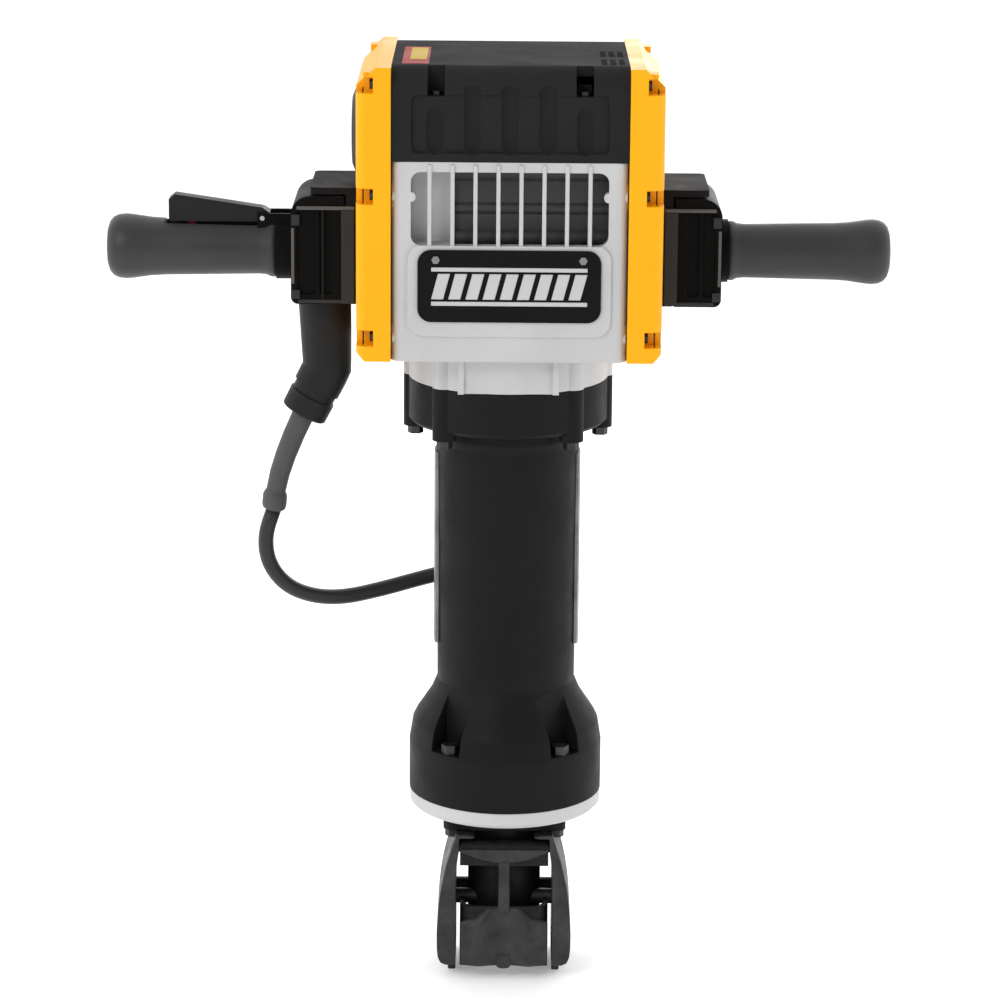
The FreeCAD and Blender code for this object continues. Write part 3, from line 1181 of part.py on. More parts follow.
def cord_tube():
    """Straight runs joined by tangent arcs, each as large as its two runs allow."""
    spots = [Vector(*spot) for spot in ROUTE]
    edges = []
    radii = []
    start = spots[0]
    for before, corner, after in zip(spots, spots[1:], spots[2:]):
        arriving = (corner - before).normalize()
        leaving = (after - corner).normalize()
        turn = arriving.getAngle(leaving)
        tangent = 0.45 * min((corner - before).Length, (after - corner).Length)
        radius = tangent / math.tan(turn / 2)
        near = corner - arriving * tangent
        far = corner + leaving * tangent
        centre_side = (leaving - arriving).normalize()
        middle = corner + centre_side * (radius / math.cos(turn / 2) - radius)
        edges.append(Part.LineSegment(start, near).toShape())
        edges.append(Part.Arc(near, middle, far).toShape())
        radii.append(radius)
        start = far
    edges.append(Part.LineSegment(start, spots[-1]).toShape())
    path = Part.Wire(edges)
    heading = spots[1] - spots[0]
    section = Part.Wire(Part.makeCircle(size("cord_radius"), spots[0], heading))
    tube = doc.addObject("Part::Feature", "cord_tube")
    tube.Shape = path.makePipeShell([section], True, False)
    full = math.pi * size("cord_radius") ** 2 * path.Length
    print("cord radii", [round(radius) for radius in radii])
    print("cord tube length", round(path.Length), "volume ratio", round(tube.Shape.Volume / full, 3))
    return tube


def cord_hank():
    """The put-away length: a flat racetrack of turns standing behind the barrel."""
    def racetrack(half, floor, top, front, rear):
        return fuse(
            rod("Y", half, front, rear, (0, f"{floor} + {half}")),
            rod("Y", half, front, rear, (0, f"{top} - {half}")),
            box((f"-({half})", half), (front, rear), (f"{floor} + {half}", f"{top} - {half}")),
        )

    around = racetrack("hank_half", "hank_floor", "hank_top", "hank_front", "hank_rear")
    band = "(hank_half - hank_inner)"
    within = racetrack("hank_inner", f"hank_floor + {band}", f"hank_top - {band}", "hank_front - 1",
                       "hank_rear + 1")
    return cut(around, within)


def cord_plug():
    """A moulded plug with two flat blades and a round pin, lying on the back of the hank."""
    body = block(("plug_x - plug_half", "plug_x + plug_half"), ("hank_rear", "hank_rear + 2 * plug_half"),
                 ("plug_floor", "plug_top"), "Z", 7)
    neck = rod("Z", "relief_tip", "plug_floor - 30", "plug_floor + 1", ("plug_x", "hank_rear + relief_tip"))
    middle = "hank_rear + plug_half"
    blades = [
        box((f"plug_x + {side} * 6 - 0.8", f"plug_x + {side} * 6 + 0.8"), (f"{middle} - 4", f"{middle} + 2"),
            ("plug_top - 1", "plug_top + prong_length"))
        for side in (-1, 1)
    ]
    pin = rod("Z", 2.4, "plug_top - 1", "plug_top + prong_length + 2", ("plug_x", f"{middle} + 7"))
    return fuse(body, neck, *blades, pin)


strain_relief = node("strain_relief", relief_piece())
node("cord_guard", cord_guard())
node("cord_tube", cord_tube())
node("cord_hank", cord_hank())
node("cord_plug", cord_plug())


# --- Check and write -----------------------------------------------------------------------------

doc.recompute()
for thing in doc.Objects:
    faults = [state for state in thing.State if state in ("Invalid", "Error")]
    if faults:
        raise RuntimeError(f"{thing.Name} ({thing.Label}) is {faults[0]}")
for thing in nodes:
    shape = thing.Shape
    if shape.isNull() or not shape.isValid() or not shape.Solids:
        raise RuntimeError(f"{thing.Label} has no valid solid")

os.makedirs("parts", exist_ok=True)
for thing in nodes:
    thing.Shape.exportStep(f"parts/{thing.Label}.step")
print(len(nodes), "sub-parts written")
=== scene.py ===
import json
import math

import bmesh
import bpy
from mathutils import Matrix, Vector


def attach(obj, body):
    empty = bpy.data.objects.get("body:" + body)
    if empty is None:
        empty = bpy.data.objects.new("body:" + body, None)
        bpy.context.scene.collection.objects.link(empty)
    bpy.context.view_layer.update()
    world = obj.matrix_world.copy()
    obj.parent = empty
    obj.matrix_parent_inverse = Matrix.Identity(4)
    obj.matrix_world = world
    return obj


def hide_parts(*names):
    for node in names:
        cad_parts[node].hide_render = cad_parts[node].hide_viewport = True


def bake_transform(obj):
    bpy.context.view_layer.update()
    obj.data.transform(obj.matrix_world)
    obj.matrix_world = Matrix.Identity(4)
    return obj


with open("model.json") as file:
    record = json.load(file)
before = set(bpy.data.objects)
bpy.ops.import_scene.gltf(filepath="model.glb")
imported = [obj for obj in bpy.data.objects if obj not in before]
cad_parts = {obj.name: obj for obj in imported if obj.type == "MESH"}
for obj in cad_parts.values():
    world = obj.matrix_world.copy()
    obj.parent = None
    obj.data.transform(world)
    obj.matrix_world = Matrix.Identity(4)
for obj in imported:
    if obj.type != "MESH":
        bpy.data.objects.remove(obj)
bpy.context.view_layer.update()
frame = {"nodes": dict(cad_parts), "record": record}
scene = bpy.context.scene

MM = 0.001
TAU = 2 * math.pi


# --- Camera, light and floor ---------------------------------------------------------------------

EYE_PLACE = (-0.006, -3.0, 1.17)
EYE_DOWN = 14.2
EYE_ROLL = 0.46
EYE_LENS = 132.6
LAMP_AIM = (0, 0, 0.45)


def camera():
    """A long lens in front of the hammer, a little above its head and slightly rolled."""
    data = bpy.data.cameras.new("view")
    data.sensor_width = 36
    data.lens = EYE_LENS
    eye = bpy.data.objects.new("view", data)
    scene.collection.objects.link(eye)
    pitch = Matrix.Rotation(math.radians(90 - EYE_DOWN), 4, "X")
    roll = Matrix.Rotation(math.radians(EYE_ROLL), 4, "Z")
    eye.matrix_world = Matrix.Translation(EYE_PLACE) @ pitch @ roll
    scene.camera = eye


def area_light(name, place, size, power):
    """A rectangular lamp that faces the middle of the barrel."""
    data = bpy.data.lights.new(name, "AREA")
    data.shape = "RECTANGLE"
    data.size, data.size_y = size
    data.energy = power
    lamp = bpy.data.objects.new(name, data)
    scene.collection.objects.link(lamp)
    lamp.location = place
    lamp.rotation_euler = (Vector(LAMP_AIM) - Vector(place)).to_track_quat("-Z", "Y").to_euler()


def backdrop():
    """A white paper sweep behind the hammer; the studio in front of it is dimmer."""
    world = bpy.data.worlds.new("studio")
    scene.world = world
    world.use_nodes = True
    nodes = world.node_tree.nodes
    links = world.node_tree.links
    heading = nodes.new("ShaderNodeSeparateXYZ")
    links.new(nodes.new("ShaderNodeTexCoord").outputs["Generated"], heading.inputs[0])
    fade = nodes.new("ShaderNodeMapRange")
    for socket, value in (("From Min", -0.6), ("From Max", 0.3), ("To Min", 0.4), ("To Max", 1.35)):
        fade.inputs[socket].default_value = value
    links.new(heading.outputs["Y"], fade.inputs["Value"])
    links.new(fade.outputs["Result"], nodes["Background"].inputs["Strength"])
    nodes["Background"].inputs["Color"].default_value = (1, 1, 1, 1)


def stage():
    """A pale paper floor, the sweep behind it and five soft lamps."""
    bpy.ops.mesh.primitive_plane_add(size=40, location=(0, 0, 0))
    floor = bpy.context.object
    floor.name = "floor"
    paper = bpy.data.materials.new("floor_paper")
    paper.use_nodes = True
    shader = paper.node_tree.nodes["Principled BSDF"]
    shader.inputs["Base Color"].default_value = (0.95, 0.95, 0.95, 1)
    shader.inputs["Roughness"].default_value = 0.85
    shader.inputs["Emission Color"].default_value = (1, 1, 1, 1)
    shader.inputs["Emission Strength"].default_value = 0.22
    floor.data.materials.append(paper)
    backdrop()
    area_light("key", (-1.5, -2.2, 2.2), (1.1, 1.1), 30)
    area_light("fill", (2.2, -1.8, 1.2), (1.2, 1.6), 8)
    area_light("left_strip", (-2.0, -0.3, 0.7), (0.3, 1.6), 5)
    area_light("right_strip", (2.0, -0.2, 0.7), (0.3, 1.6), 3.5)
    area_light("back", (0.6, 2.6, 0.9), (1.6, 1.2), 14)
    scene.view_settings.view_transform = "Standard"


camera()
stage()


# --- Materials -----------------------------------------------------------------------------------

class Surface:
    """A Principled material built from procedural layers in the object's own coordinates."""

    def __init__(self, name, roughness=0.5, metallic=0.0, **sockets):
        self.material = bpy.data.materials.new(name)
        self.material.use_nodes = True
        self.tree = self.material.node_tree
        self.shader = self.tree.nodes["Principled BSDF"]
        self.shader.inputs["Metallic"].default_value = metallic
        self.shader.inputs["Roughness"].default_value = roughness
        for socket, value in sockets.items():
            self.shader.inputs[socket.replace("_", " ")].default_value = value
        self.spot = self.node("ShaderNodeTexCoord").outputs["Object"]
        self.normal = None

    def node(self, kind, **settings):
        made = self.tree.nodes.new(kind)
        for setting, value in settings.items():
            setattr(made, setting, value)
        return made

    def link(self, source, target):
        self.tree.links.new(source, target)

    def noise(self, scale, detail=4.0, stretch=(1, 1, 1), roughness=0.55):
        """A noise field, its scale in waves per metre, drawn out by `stretch`."""
        mapping = self.node("ShaderNodeMapping")
        mapping.inputs["Scale"].default_value = stretch
        self.link(self.spot, mapping.inputs["Vector"])
        field = self.node("ShaderNodeTexNoise")
        field.inputs["Scale"].default_value = scale
        field.inputs["Detail"].default_value = detail
        field.inputs["Roughness"].default_value = roughness
        self.link(mapping.outputs["Vector"], field.inputs["Vector"])
        return field.outputs["Fac"]

    def scaled(self, field, low, high, start=0.0, end=1.0):
        """A field from start to end, given as values from low to high."""
        spread = self.node("ShaderNodeMapRange")
        for socket, value in zip(("From Min", "From Max", "To Min", "To Max"), (start, end, low, high)):
            spread.inputs[socket].default_value = value
        self.link(field, spread.inputs["Value"])
        return spread.outputs["Result"]

    def mix(self, factor, first, second):
        """Two colours, or a colour socket and a colour, mixed by a field."""
        blend = self.node("ShaderNodeMix", data_type="RGBA")
        self.link(factor, blend.inputs["Factor"])
        for socket, colour in ((blend.inputs["A"], first), (blend.inputs["B"], second)):
            if isinstance(colour, tuple):
                socket.default_value = (*colour, 1)
            else:
                self.link(colour, socket)
        return blend.outputs["Result"]

    def colour(self, source):
        self.link(source, self.shader.inputs["Base Color"])

    def rough(self, source):
        self.link(source, self.shader.inputs["Roughness"])

    def bump(self, field, height):
        """Relief of a field, its height in metres; several layers add up."""
        relief = self.node("ShaderNodeBump")
        relief.inputs["Distance"].default_value = height
        relief.inputs["Strength"].default_value = 1.0
        self.link(field, relief.inputs["Height"])
        if self.normal is not None:
            self.link(self.normal, relief.inputs["Normal"])
        self.normal = relief.outputs["Normal"]
        self.link(self.normal, self.shader.inputs["Normal"])

    def soft_edges(self, radius):
        """Round the shading of hard edges, as a moulding or a casting has them."""
        bevel = self.node("ShaderNodeBevel", samples=6)
        bevel.inputs["Radius"].default_value = radius
        self.normal = bevel.outputs["Normal"]
        self.link(self.normal, self.shader.inputs["Normal"])

    def edges(self, radius, low=0.02, high=0.25):
        """A mask of worn edges: where the rounded normal leaves the true one."""
        bevel = self.node("ShaderNodeBevel", samples=6)
        bevel.inputs["Radius"].default_value = radius
        plain = self.node("ShaderNodeNewGeometry").outputs["Normal"]
        dot = self.node("ShaderNodeVectorMath", operation="DOT_PRODUCT")
        self.link(bevel.outputs["Normal"], dot.inputs[0])
        self.link(plain, dot.inputs[1])
        bent = self.node("ShaderNodeMath", operation="SUBTRACT")
        bent.inputs[0].default_value = 1.0
        self.link(dot.outputs["Value"], bent.inputs[1])
        wear = self.node("ShaderNodeMath", operation="MULTIPLY")
        self.link(self.scaled(bent.outputs["Value"], 0, 1, low, high), wear.inputs[0])
        self.link(self.scaled(self.noise(60, 6), 0, 1, 0.42, 0.62), wear.inputs[1])
        wear.use_clamp = True
        return wear.outputs["Value"]


def cast_paint(name, base, shade, worn, roughness, metallic=0.0, shine=0.5):
    """Painted casting: mottled colour, orange-peel relief, paler worn edges."""
    paint = Surface(name, roughness, metallic, Specular_IOR_Level=shine)
    paint.soft_edges(0.0012)
    mottled = paint.mix(paint.scaled(paint.noise(9, 5), 0, 1, 0.3, 0.7), base, shade)
    paint.colour(paint.mix(paint.edges(0.0009), mottled, worn))
    paint.rough(paint.scaled(paint.noise(40, 5), roughness - 0.07, roughness + 0.09, 0.3, 0.7))
    paint.bump(paint.noise(900, 3), 0.00009)
    paint.bump(paint.noise(70, 2), 0.00018)
    return paint.material


def moulding(name, base, shade, worn, roughness, grain=1700, relief=0.00007, shine=0.5):
    """Moulded plastic: an even colour with a fine spark-eroded grain."""
    plastic = Surface(name, roughness, 0.0, Specular_IOR_Level=shine)
    plastic.soft_edges(0.0008)
    tone = plastic.mix(plastic.scaled(plastic.noise(6, 4), 0, 1, 0.3, 0.7), base, shade)
    plastic.colour(plastic.mix(plastic.edges(0.0007), tone, worn))
    plastic.rough(plastic.scaled(plastic.noise(25, 6), roughness - 0.06, roughness + 0.08, 0.3, 0.7))
    plastic.bump(plastic.noise(grain, 2), relief)
    return plastic.material


def rubber(name, base, shade, roughness, relief=0.0001):
    """Moulded rubber: dusty, matt, with a soft grain."""
    skin = Surface(name, roughness, 0.0, Sheen_Weight=0.06, Sheen_Roughness=0.5, Specular_IOR_Level=0.35)
    skin.soft_edges(0.0008)
    skin.colour(skin.mix(skin.scaled(skin.noise(14, 6), 0, 1, 0.35, 0.7), base, shade))
    skin.rough(skin.scaled(skin.noise(30, 5), roughness - 0.08, roughness + 0.08, 0.3, 0.7))
    skin.bump(skin.noise(1300, 3), relief)
    return skin.material


def metal(name, base, shade, roughness, stretch=(1, 1, 1), scale=300, metallic=1.0):
    """Bare or oxidised metal with fine machining marks drawn out by `stretch`."""
    bare = Surface(name, roughness, metallic)
    bare.soft_edges(0.0005)
    bare.colour(bare.mix(bare.scaled(bare.noise(30, 6), 0, 1, 0.3, 0.7), base, shade))
    lines = bare.noise(scale, 4, stretch)
    bare.rough(bare.scaled(lines, roughness - 0.1, roughness + 0.12, 0.3, 0.7))
    bare.bump(lines, 0.00003)
    return bare.material


def forging(name, base, shade, worn, roughness=0.5):
    """Phosphated forging: dark, slightly scaly, with bright rubbed edges."""
    iron = Surface(name, roughness, 0.55)
    iron.soft_edges(0.0012)
    scaly = iron.mix(iron.scaled(iron.noise(55, 8), 0, 1, 0.35, 0.65), base, shade)
    iron.colour(iron.mix(iron.edges(0.0012), scaly, worn))
    iron.rough(iron.scaled(iron.noise(90, 6), roughness - 0.12, roughness + 0.15, 0.3, 0.7))
    iron.bump(iron.noise(420, 6), 0.00022)
    iron.bump(iron.noise(60, 3), 0.0003)
    return iron.material


def laminated(name):
    """Varnished steel laminations stacked along X."""
    stack = Surface(name, 0.42, 0.6)
    stack.soft_edges(0.0006)
    layers = stack.noise(1400, 1, (1, 0.01, 0.01))
    stack.colour(stack.mix(layers, (0.03, 0.028, 0.027), (0.12, 0.115, 0.11)))
    stack.bump(layers, 0.0002)
    return stack.material


LOOKS = {
    "silver_casting": cast_paint("silver_paint", (0.54, 0.542, 0.546), (0.47, 0.472, 0.476),
                                 (0.68, 0.68, 0.68), 0.42, metallic=0.1, shine=0.4),
    "black_casting": cast_paint("barrel_paint", (0.007, 0.007, 0.008), (0.009, 0.009, 0.01),
                                (0.026, 0.026, 0.027), 0.5, shine=0.1),
    "mount_casting": cast_paint("mount_paint", (0.008, 0.008, 0.009), (0.011, 0.011, 0.012),
                                (0.025, 0.025, 0.025), 0.6, shine=0.05),
    "black_plastic": moulding("black_moulding", (0.01, 0.01, 0.011), (0.013, 0.013, 0.013),
                              (0.03, 0.03, 0.03), 0.46, shine=0.16),
    "fan_plastic": moulding("fan_moulding", (0.05, 0.05, 0.05), (0.07, 0.07, 0.068), (0.1, 0.1, 0.1), 0.55),
    "yellow_plastic": moulding("yellow_moulding", (0.94, 0.42, 0.002), (0.9, 0.39, 0.002),
                               (0.98, 0.5, 0.02), 0.38, grain=2200, relief=0.00004, shine=0.2),
    "nameplate": moulding("nameplate_enamel", (0.005, 0.005, 0.006), (0.007, 0.007, 0.007),
                          (0.02, 0.02, 0.02), 0.3, grain=2600, relief=0.00002, shine=0.06),
    "bright_strip": metal("brushed_strip", (0.26, 0.26, 0.27), (0.12, 0.12, 0.12), 0.45, (1, 1, 1.5),
                          scale=160, metallic=0.6),
    "black_screws": metal("black_oxide", (0.035, 0.035, 0.037), (0.06, 0.06, 0.06), 0.42, metallic=0.85),
    "forged_steel": forging("phosphated_forging", (0.024, 0.025, 0.026), (0.042, 0.043, 0.045),
                            (0.14, 0.14, 0.14)),
    "machined_steel": metal("machined_steel", (0.5, 0.5, 0.51), (0.38, 0.38, 0.39), 0.32),
    "laminated_core": laminated("laminations"),
    "piston_alloy": metal("piston_alloy", (0.68, 0.68, 0.69), (0.55, 0.55, 0.56), 0.35, (1, 1, 12)),
    "bronze": metal("sintered_bronze", (0.5, 0.3, 0.12), (0.38, 0.22, 0.09), 0.45),
    "grip_rubber": rubber("grip_skin", (0.021, 0.021, 0.022), (0.028, 0.028, 0.029), 0.5),
    "cord_jacket": rubber("cord_skin", (0.013, 0.013, 0.014), (0.018, 0.018, 0.019), 0.45, relief=0.00005),
    "switch_plastic": moulding("switch_moulding", (0.45, 0.03, 0.02), (0.38, 0.025, 0.02),
                               (0.6, 0.1, 0.08), 0.45),
}
# The brackets' skin is darker than the black moulding: painted shade for the deep sunk faces of the
# brackets.
BRACKET_PAINTED_SHADE_SKIN = moulding("bracket_painted_shade_skin", (0.0025, 0.0025, 0.0025), (0.004, 0.004, 0.004),
                        (0.02, 0.02, 0.02), 0.5, shine=0.06)
# Nodes that look different from the rest of their slot.
NODE_LOOKS = {
    "top_cover": moulding("cover_moulding", (0.016, 0.016, 0.017), (0.02, 0.02, 0.02),
                          (0.06, 0.06, 0.06), 0.75, shine=0.06),
    # The latch and the nose take forgings far darker than the arms' forged steel: painted shade, standing in
    # for the shade on the latch and in the recessed nose.
    "bit_latch": forging("latch_forging_painted_shade", (0.007, 0.007, 0.008), (0.012, 0.012, 0.013),
                         (0.04, 0.04, 0.04), 0.65),
    "nose_block": forging("nose_forging_painted_shade", (0.004, 0.004, 0.005), (0.007, 0.007, 0.008),
                          (0.02, 0.02, 0.02), 0.7),
    "left_handle_bracket": BRACKET_PAINTED_SHADE_SKIN,
    "right_handle_bracket": BRACKET_PAINTED_SHADE_SKIN,
    "nameplate_screws": metal("plate_screw_steel", (0.3, 0.3, 0.31), (0.18, 0.18, 0.19), 0.35),
    "strain_relief": rubber("relief_skin", (0.055, 0.055, 0.057), (0.07, 0.07, 0.072), 0.6),
    "ram": metal("ground_ram", (0.6, 0.6, 0.61), (0.5, 0.5, 0.51), 0.25, (1, 1, 14)),
    "left_handle_tube": metal("handle_tube_steel", (0.3, 0.3, 0.31), (0.22, 0.22, 0.23), 0.4, (0.2, 6, 6)),
}


def wear(thing, look):
    """Give a mesh one look all over."""
    thing.data.materials.clear()
    thing.data.materials.append(look)


def dress_nodes():
    """Put every CAD node in the look of its slot, or in a look of its own."""
    slots = {part["node"]: part["material_slot"] for part in frame["record"]["subparts"]}
    for name, thing in frame["nodes"].items():
        look = NODE_LOOKS.get(name, LOOKS[slots[name]])
        for place in thing.material_slots:
            place.material = look
        if not thing.material_slots:
            thing.data.materials.append(look)


dress_nodes()


# --- Cord ----------------------------------------------------------------------------------------

CORD_RADIUS = 6.5 * MM
# The route from the relief's tip round to the back of the barrel, in millimetres as in the CAD.
ROUTE = [
    (-196, 0, 402), (-204, 0, 378.3), (-201.5, 3, 354), (-188, 10, 333), (-166.5, 20, 320.5),
    (-140, 31, 316), (-107, 43, 320.5), (-72, 54, 328), (-38, 57, 336), (-8, 68, 343), (18, 71.5, 352),
]
HANK_TOP = 462 - 6.5
HANK_FLOOR = 262 + 6.5
HANK_MIDDLE = (HANK_TOP + HANK_FLOOR) / 2
HANK_LAYERS = (71.5, 84.5)
HANK_WIDTHS = (39, 52)
PLUG_X = 39
PLUG_Y = 103
PLUG_FLOOR = 395


def hank_points():
    """Four turns of a racetrack: two widths in the front layer, then the two in the rear one."""
    turns = [
        (HANK_WIDTHS[0], HANK_LAYERS[0]), (HANK_WIDTHS[1], HANK_LAYERS[0]),
        (HANK_WIDTHS[1], HANK_LAYERS[1]), (HANK_WIDTHS[0], HANK_LAYERS[1]),
    ]
    half_run = (HANK_TOP - HANK_FLOOR) / 2 - HANK_WIDTHS[1]
    points = []
    for turn, (width, layer) in enumerate(turns):
        # The bottom arc of the last turn leads on to the next turn's width and layer.
        following, next_layer = turns[min(turn + 1, len(turns) - 1)]
        points.append((width, layer, HANK_MIDDLE - half_run / 2))
        points.append((width, layer, HANK_MIDDLE + half_run))
        for step in range(1, 6):
            angle = math.pi * step / 6
            reach = width / math.cos(math.pi / 12)
            rise = reach * math.sin(angle)
            points.append((reach * math.cos(angle), layer, HANK_MIDDLE + half_run + rise))
        points.append((-width, layer, HANK_MIDDLE + half_run))
        points.append((-width, layer, HANK_MIDDLE - half_run))
        for step in range(1, 6):
            blend = step / 6
            angle = math.pi * (1 + blend)
            radius = (width + (following - width) * blend) / math.cos(math.pi / 12)
            points.append((
                radius * math.cos(angle), layer + (next_layer - layer) * blend,
                HANK_MIDDLE - half_run + radius * math.sin(angle),
            ))
        points.append((following, next_layer, HANK_MIDDLE - half_run))
    return points


CORD_SEGMENTS = 20
PATH_STEPS = 5


def smooth_path(corners):
    """A quadratic B-spline's points: it starts and ends at the first and last corner."""
    points = [corners[0]]
    for before, corner, after in zip(corners, corners[1:], corners[2:]):
        enter = (before + corner) / 2
        leave = (corner + after) / 2
        for step in range(PATH_STEPS):
            share = step / PATH_STEPS
            points.append(enter.lerp(corner, share).lerp(corner.lerp(leave, share), share))
    points.append((corners[-2] + corners[-1]) / 2)
    points.append(corners[-1])
    return points


def ring_faces(rings, segments):
    """The four-sided faces between rings of as many points each."""
    faces = []
    for ring in range(rings - 1):
        for step in range(segments):
            following = (step + 1) % segments
            faces.append((ring * segments + step, ring * segments + following,
                          (ring + 1) * segments + following, (ring + 1) * segments + step))
    return faces


def swept(path, radius, segments=CORD_SEGMENTS):
    """Vertices and faces of a closed tube along a path, carried on without twist."""
    rows = []
    heading = (path[1] - path[0]).normalized()
    across = heading.orthogonal().normalized()
    for step, spot in enumerate(path):
        ahead = path[min(step + 1, len(path) - 1)] - path[max(step - 1, 0)]
        turned = ahead.normalized()
        across = (across - turned * across.dot(turned)).normalized()
        other = turned.cross(across)
        for count in range(segments):
            angle = TAU * count / segments
            rows.append(spot + (across * math.cos(angle) + other * math.sin(angle)) * radius)
    faces = ring_faces(len(path), segments)
    faces.append(tuple(range(segments - 1, -1, -1)))
    faces.append(tuple(range((len(path) - 1) * segments, len(path) * segments)))
    return rows, faces


def mains_cord():
    """One cord from the relief to the plug; it replaces the CAD's tube and block."""
    # The tail climbs from the last turn, which lies deepest, to the plug behind it.
    tail = [(PLUG_X, 93, HANK_MIDDLE - 15), (PLUG_X, 100, HANK_MIDDLE + 5),
            (PLUG_X, PLUG_Y - 2, HANK_MIDDLE + 22), (PLUG_X, PLUG_Y - 2, PLUG_FLOOR + 4)]
    path = smooth_path([Vector(spot) * MM for spot in ROUTE + hank_points() + tail])
    rows, faces = swept(path, CORD_RADIUS)
    mesh = bpy.data.meshes.new("mains_cord")
    mesh.from_pydata(rows, [], faces)
    for polygon in mesh.polygons:
        polygon.use_smooth = len(polygon.vertices) == 4
    cord = bpy.data.objects.new("mains_cord", mesh)
    scene.collection.objects.link(cord)
    wear(cord, LOOKS["cord_jacket"])
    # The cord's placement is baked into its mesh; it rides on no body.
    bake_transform(cord)
    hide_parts("cord_tube", "cord_hank")


mains_cord()


# --- Pieces made here ----------------------------------------------------------------------------

def piece(name, rows, faces, slot, body="root", look=None, smooth=False):
    """A mesh from vertices in millimetres, riding on a body, in the look of its slot."""
    mesh = bpy.data.meshes.new(name)
    mesh.from_pydata([tuple(part * MM for part in row) for row in rows], [], faces)
    mesh.validate()
    for polygon in mesh.polygons:
        polygon.use_smooth = smooth
    thing = bpy.data.objects.new(name, mesh)
    scene.collection.objects.link(thing)
    wear(thing, look or LOOKS[slot])
    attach(thing, body)
    return thing


def extruded(outline, near, far):
    """Vertices and faces of an XZ outline drawn along Y; the outline runs round either way."""
    count = len(outline)
    rows = [(x, y, z) for y in (near, far) for x, z in outline]
    faces = [tuple(range(count)), tuple(range(2 * count - 1, count - 1, -1))]
    faces += [(step, (step + 1) % count, count + (step + 1) % count, count + step) for step in range(count)]
    return rows, faces


def joined(parts):
    """Several (rows, faces) meshes as one."""
    rows, faces = [], []
    for part_rows, part_faces in parts:
        start = len(rows)
        rows += part_rows
        faces += [tuple(corner + start for corner in face) for face in part_faces]
    return rows, faces


def tidy_mesh(thing, bevel=0.0, segments=2):
    """Turn the faces outward, and round the edges by a bevel in millimetres."""
    work = bmesh.new()
    work.from_mesh(thing.data)
    bmesh.ops.recalc_face_normals(work, faces=work.faces)
    if bevel:
        bmesh.ops.bevel(work, geom=list(work.edges), offset=bevel * MM, segments=segments, affect="EDGES",
                        profile=0.5, clamp_overlap=True)
    work.to_mesh(thing.data)
    work.free()


# --- Nameplate's motif ---------------------------------------------------------------------------

PLATE_FACE = 102
RULE_HALF = 62.5
RULE_LEVELS = ((624.6, 627.9), (596.8, 600.2))
BAR_LEVELS = (602, 622.8)
BAR_COUNT = 9
BAR_WIDTH = 9.6
BAR_SLANT = 5.5


def plate_motif():
    """Plain slanted bars between two rules, a hair proud of the enamel."""
    outlines = [
        [(-RULE_HALF, low), (RULE_HALF, low), (RULE_HALF, high), (-RULE_HALF, high)]
        for low, high in RULE_LEVELS
    ]
    room = 2 * RULE_HALF - BAR_WIDTH - BAR_SLANT
    for count in range(BAR_COUNT):
        left = -RULE_HALF + room * count / (BAR_COUNT - 1)
        outlines.append([
            (left, BAR_LEVELS[0]), (left + BAR_WIDTH, BAR_LEVELS[0]),
            (left + BAR_WIDTH + BAR_SLANT, BAR_LEVELS[1]), (left + BAR_SLANT, BAR_LEVELS[1]),
        ])
    bars = [extruded(outline, -PLATE_FACE + 0.05, -PLATE_FACE - 0.35) for outline in outlines]
    rows, faces = joined(bars)
    motif = piece("plate_motif", rows, faces, "silver_casting")
    tidy_mesh(motif, 0.12)


plate_motif()


# --- Sticker, and painted shade of small vents on the top cover ------------------------------------

COVER_TOP = 787


def flat_patch(left, right, front, rear, low, high):
    """A thin block given by its X, Y and Z ranges."""
    corners = ((left, front), (right, front), (right, rear), (left, rear))
    rows = [(x, y, z) for z in (low, high) for x, y in corners]
    faces = [(3, 2, 1, 0), (4, 5, 6, 7)]
    faces += [(step, (step + 1) % 4, 4 + (step + 1) % 4, 4 + step) for step in range(4)]
    return rows, faces


STICKER_RED = moulding("sticker_red", (0.34, 0.006, 0.008), (0.28, 0.005, 0.006),
                       (0.4, 0.03, 0.03), 0.5, shine=0.1)
STICKER_YELLOW = moulding("sticker_yellow", (0.55, 0.38, 0.02), (0.48, 0.33, 0.02),
                          (0.6, 0.45, 0.05), 0.5, shine=0.1)
# The louvres are flat patches in a near-black skin: painted shade for the inside of the slots.
SLOT_PAINTED_SHADE = moulding("slot_painted_shade", (0.002, 0.002, 0.002), (0.003, 0.003, 0.003),
                      (0.005, 0.005, 0.005), 0.8, shine=0.02)
LOUVRE_LEFT = 72.5
LOUVRE_PITCH = 7
LOUVRE_WIDTH = 4.6
LOUVRE_LENGTH = 34


def cover_details():
    """A blank two-colour sticker at the left, and six flat near-black patches at the right: painted shade of
    small louvre slots.
    """
    ground = flat_patch(-87, -65.5, -72, 34, COVER_TOP - 0.2, COVER_TOP + 0.12)
    piece("sticker_ground", *ground, "switch_plastic", look=STICKER_RED)
    field = flat_patch(-81, -67.5, -46, 28, COVER_TOP, COVER_TOP + 0.22)
    piece("sticker_field", *field, "yellow_plastic", look=STICKER_YELLOW)
    louvres = []
    for column in range(3):
        left = LOUVRE_LEFT + LOUVRE_PITCH * column
        for front in (-72, -22):
            louvres.append(flat_patch(left, left + LOUVRE_WIDTH, front, front + LOUVRE_LENGTH,
                                      COVER_TOP - 0.2, COVER_TOP + 0.1))
    piece("cover_louvre_shade", *joined(louvres), "black_plastic", look=SLOT_PAINTED_SHADE)


cover_details()


# --- Grips -----------------------------------------------------------------------------------------

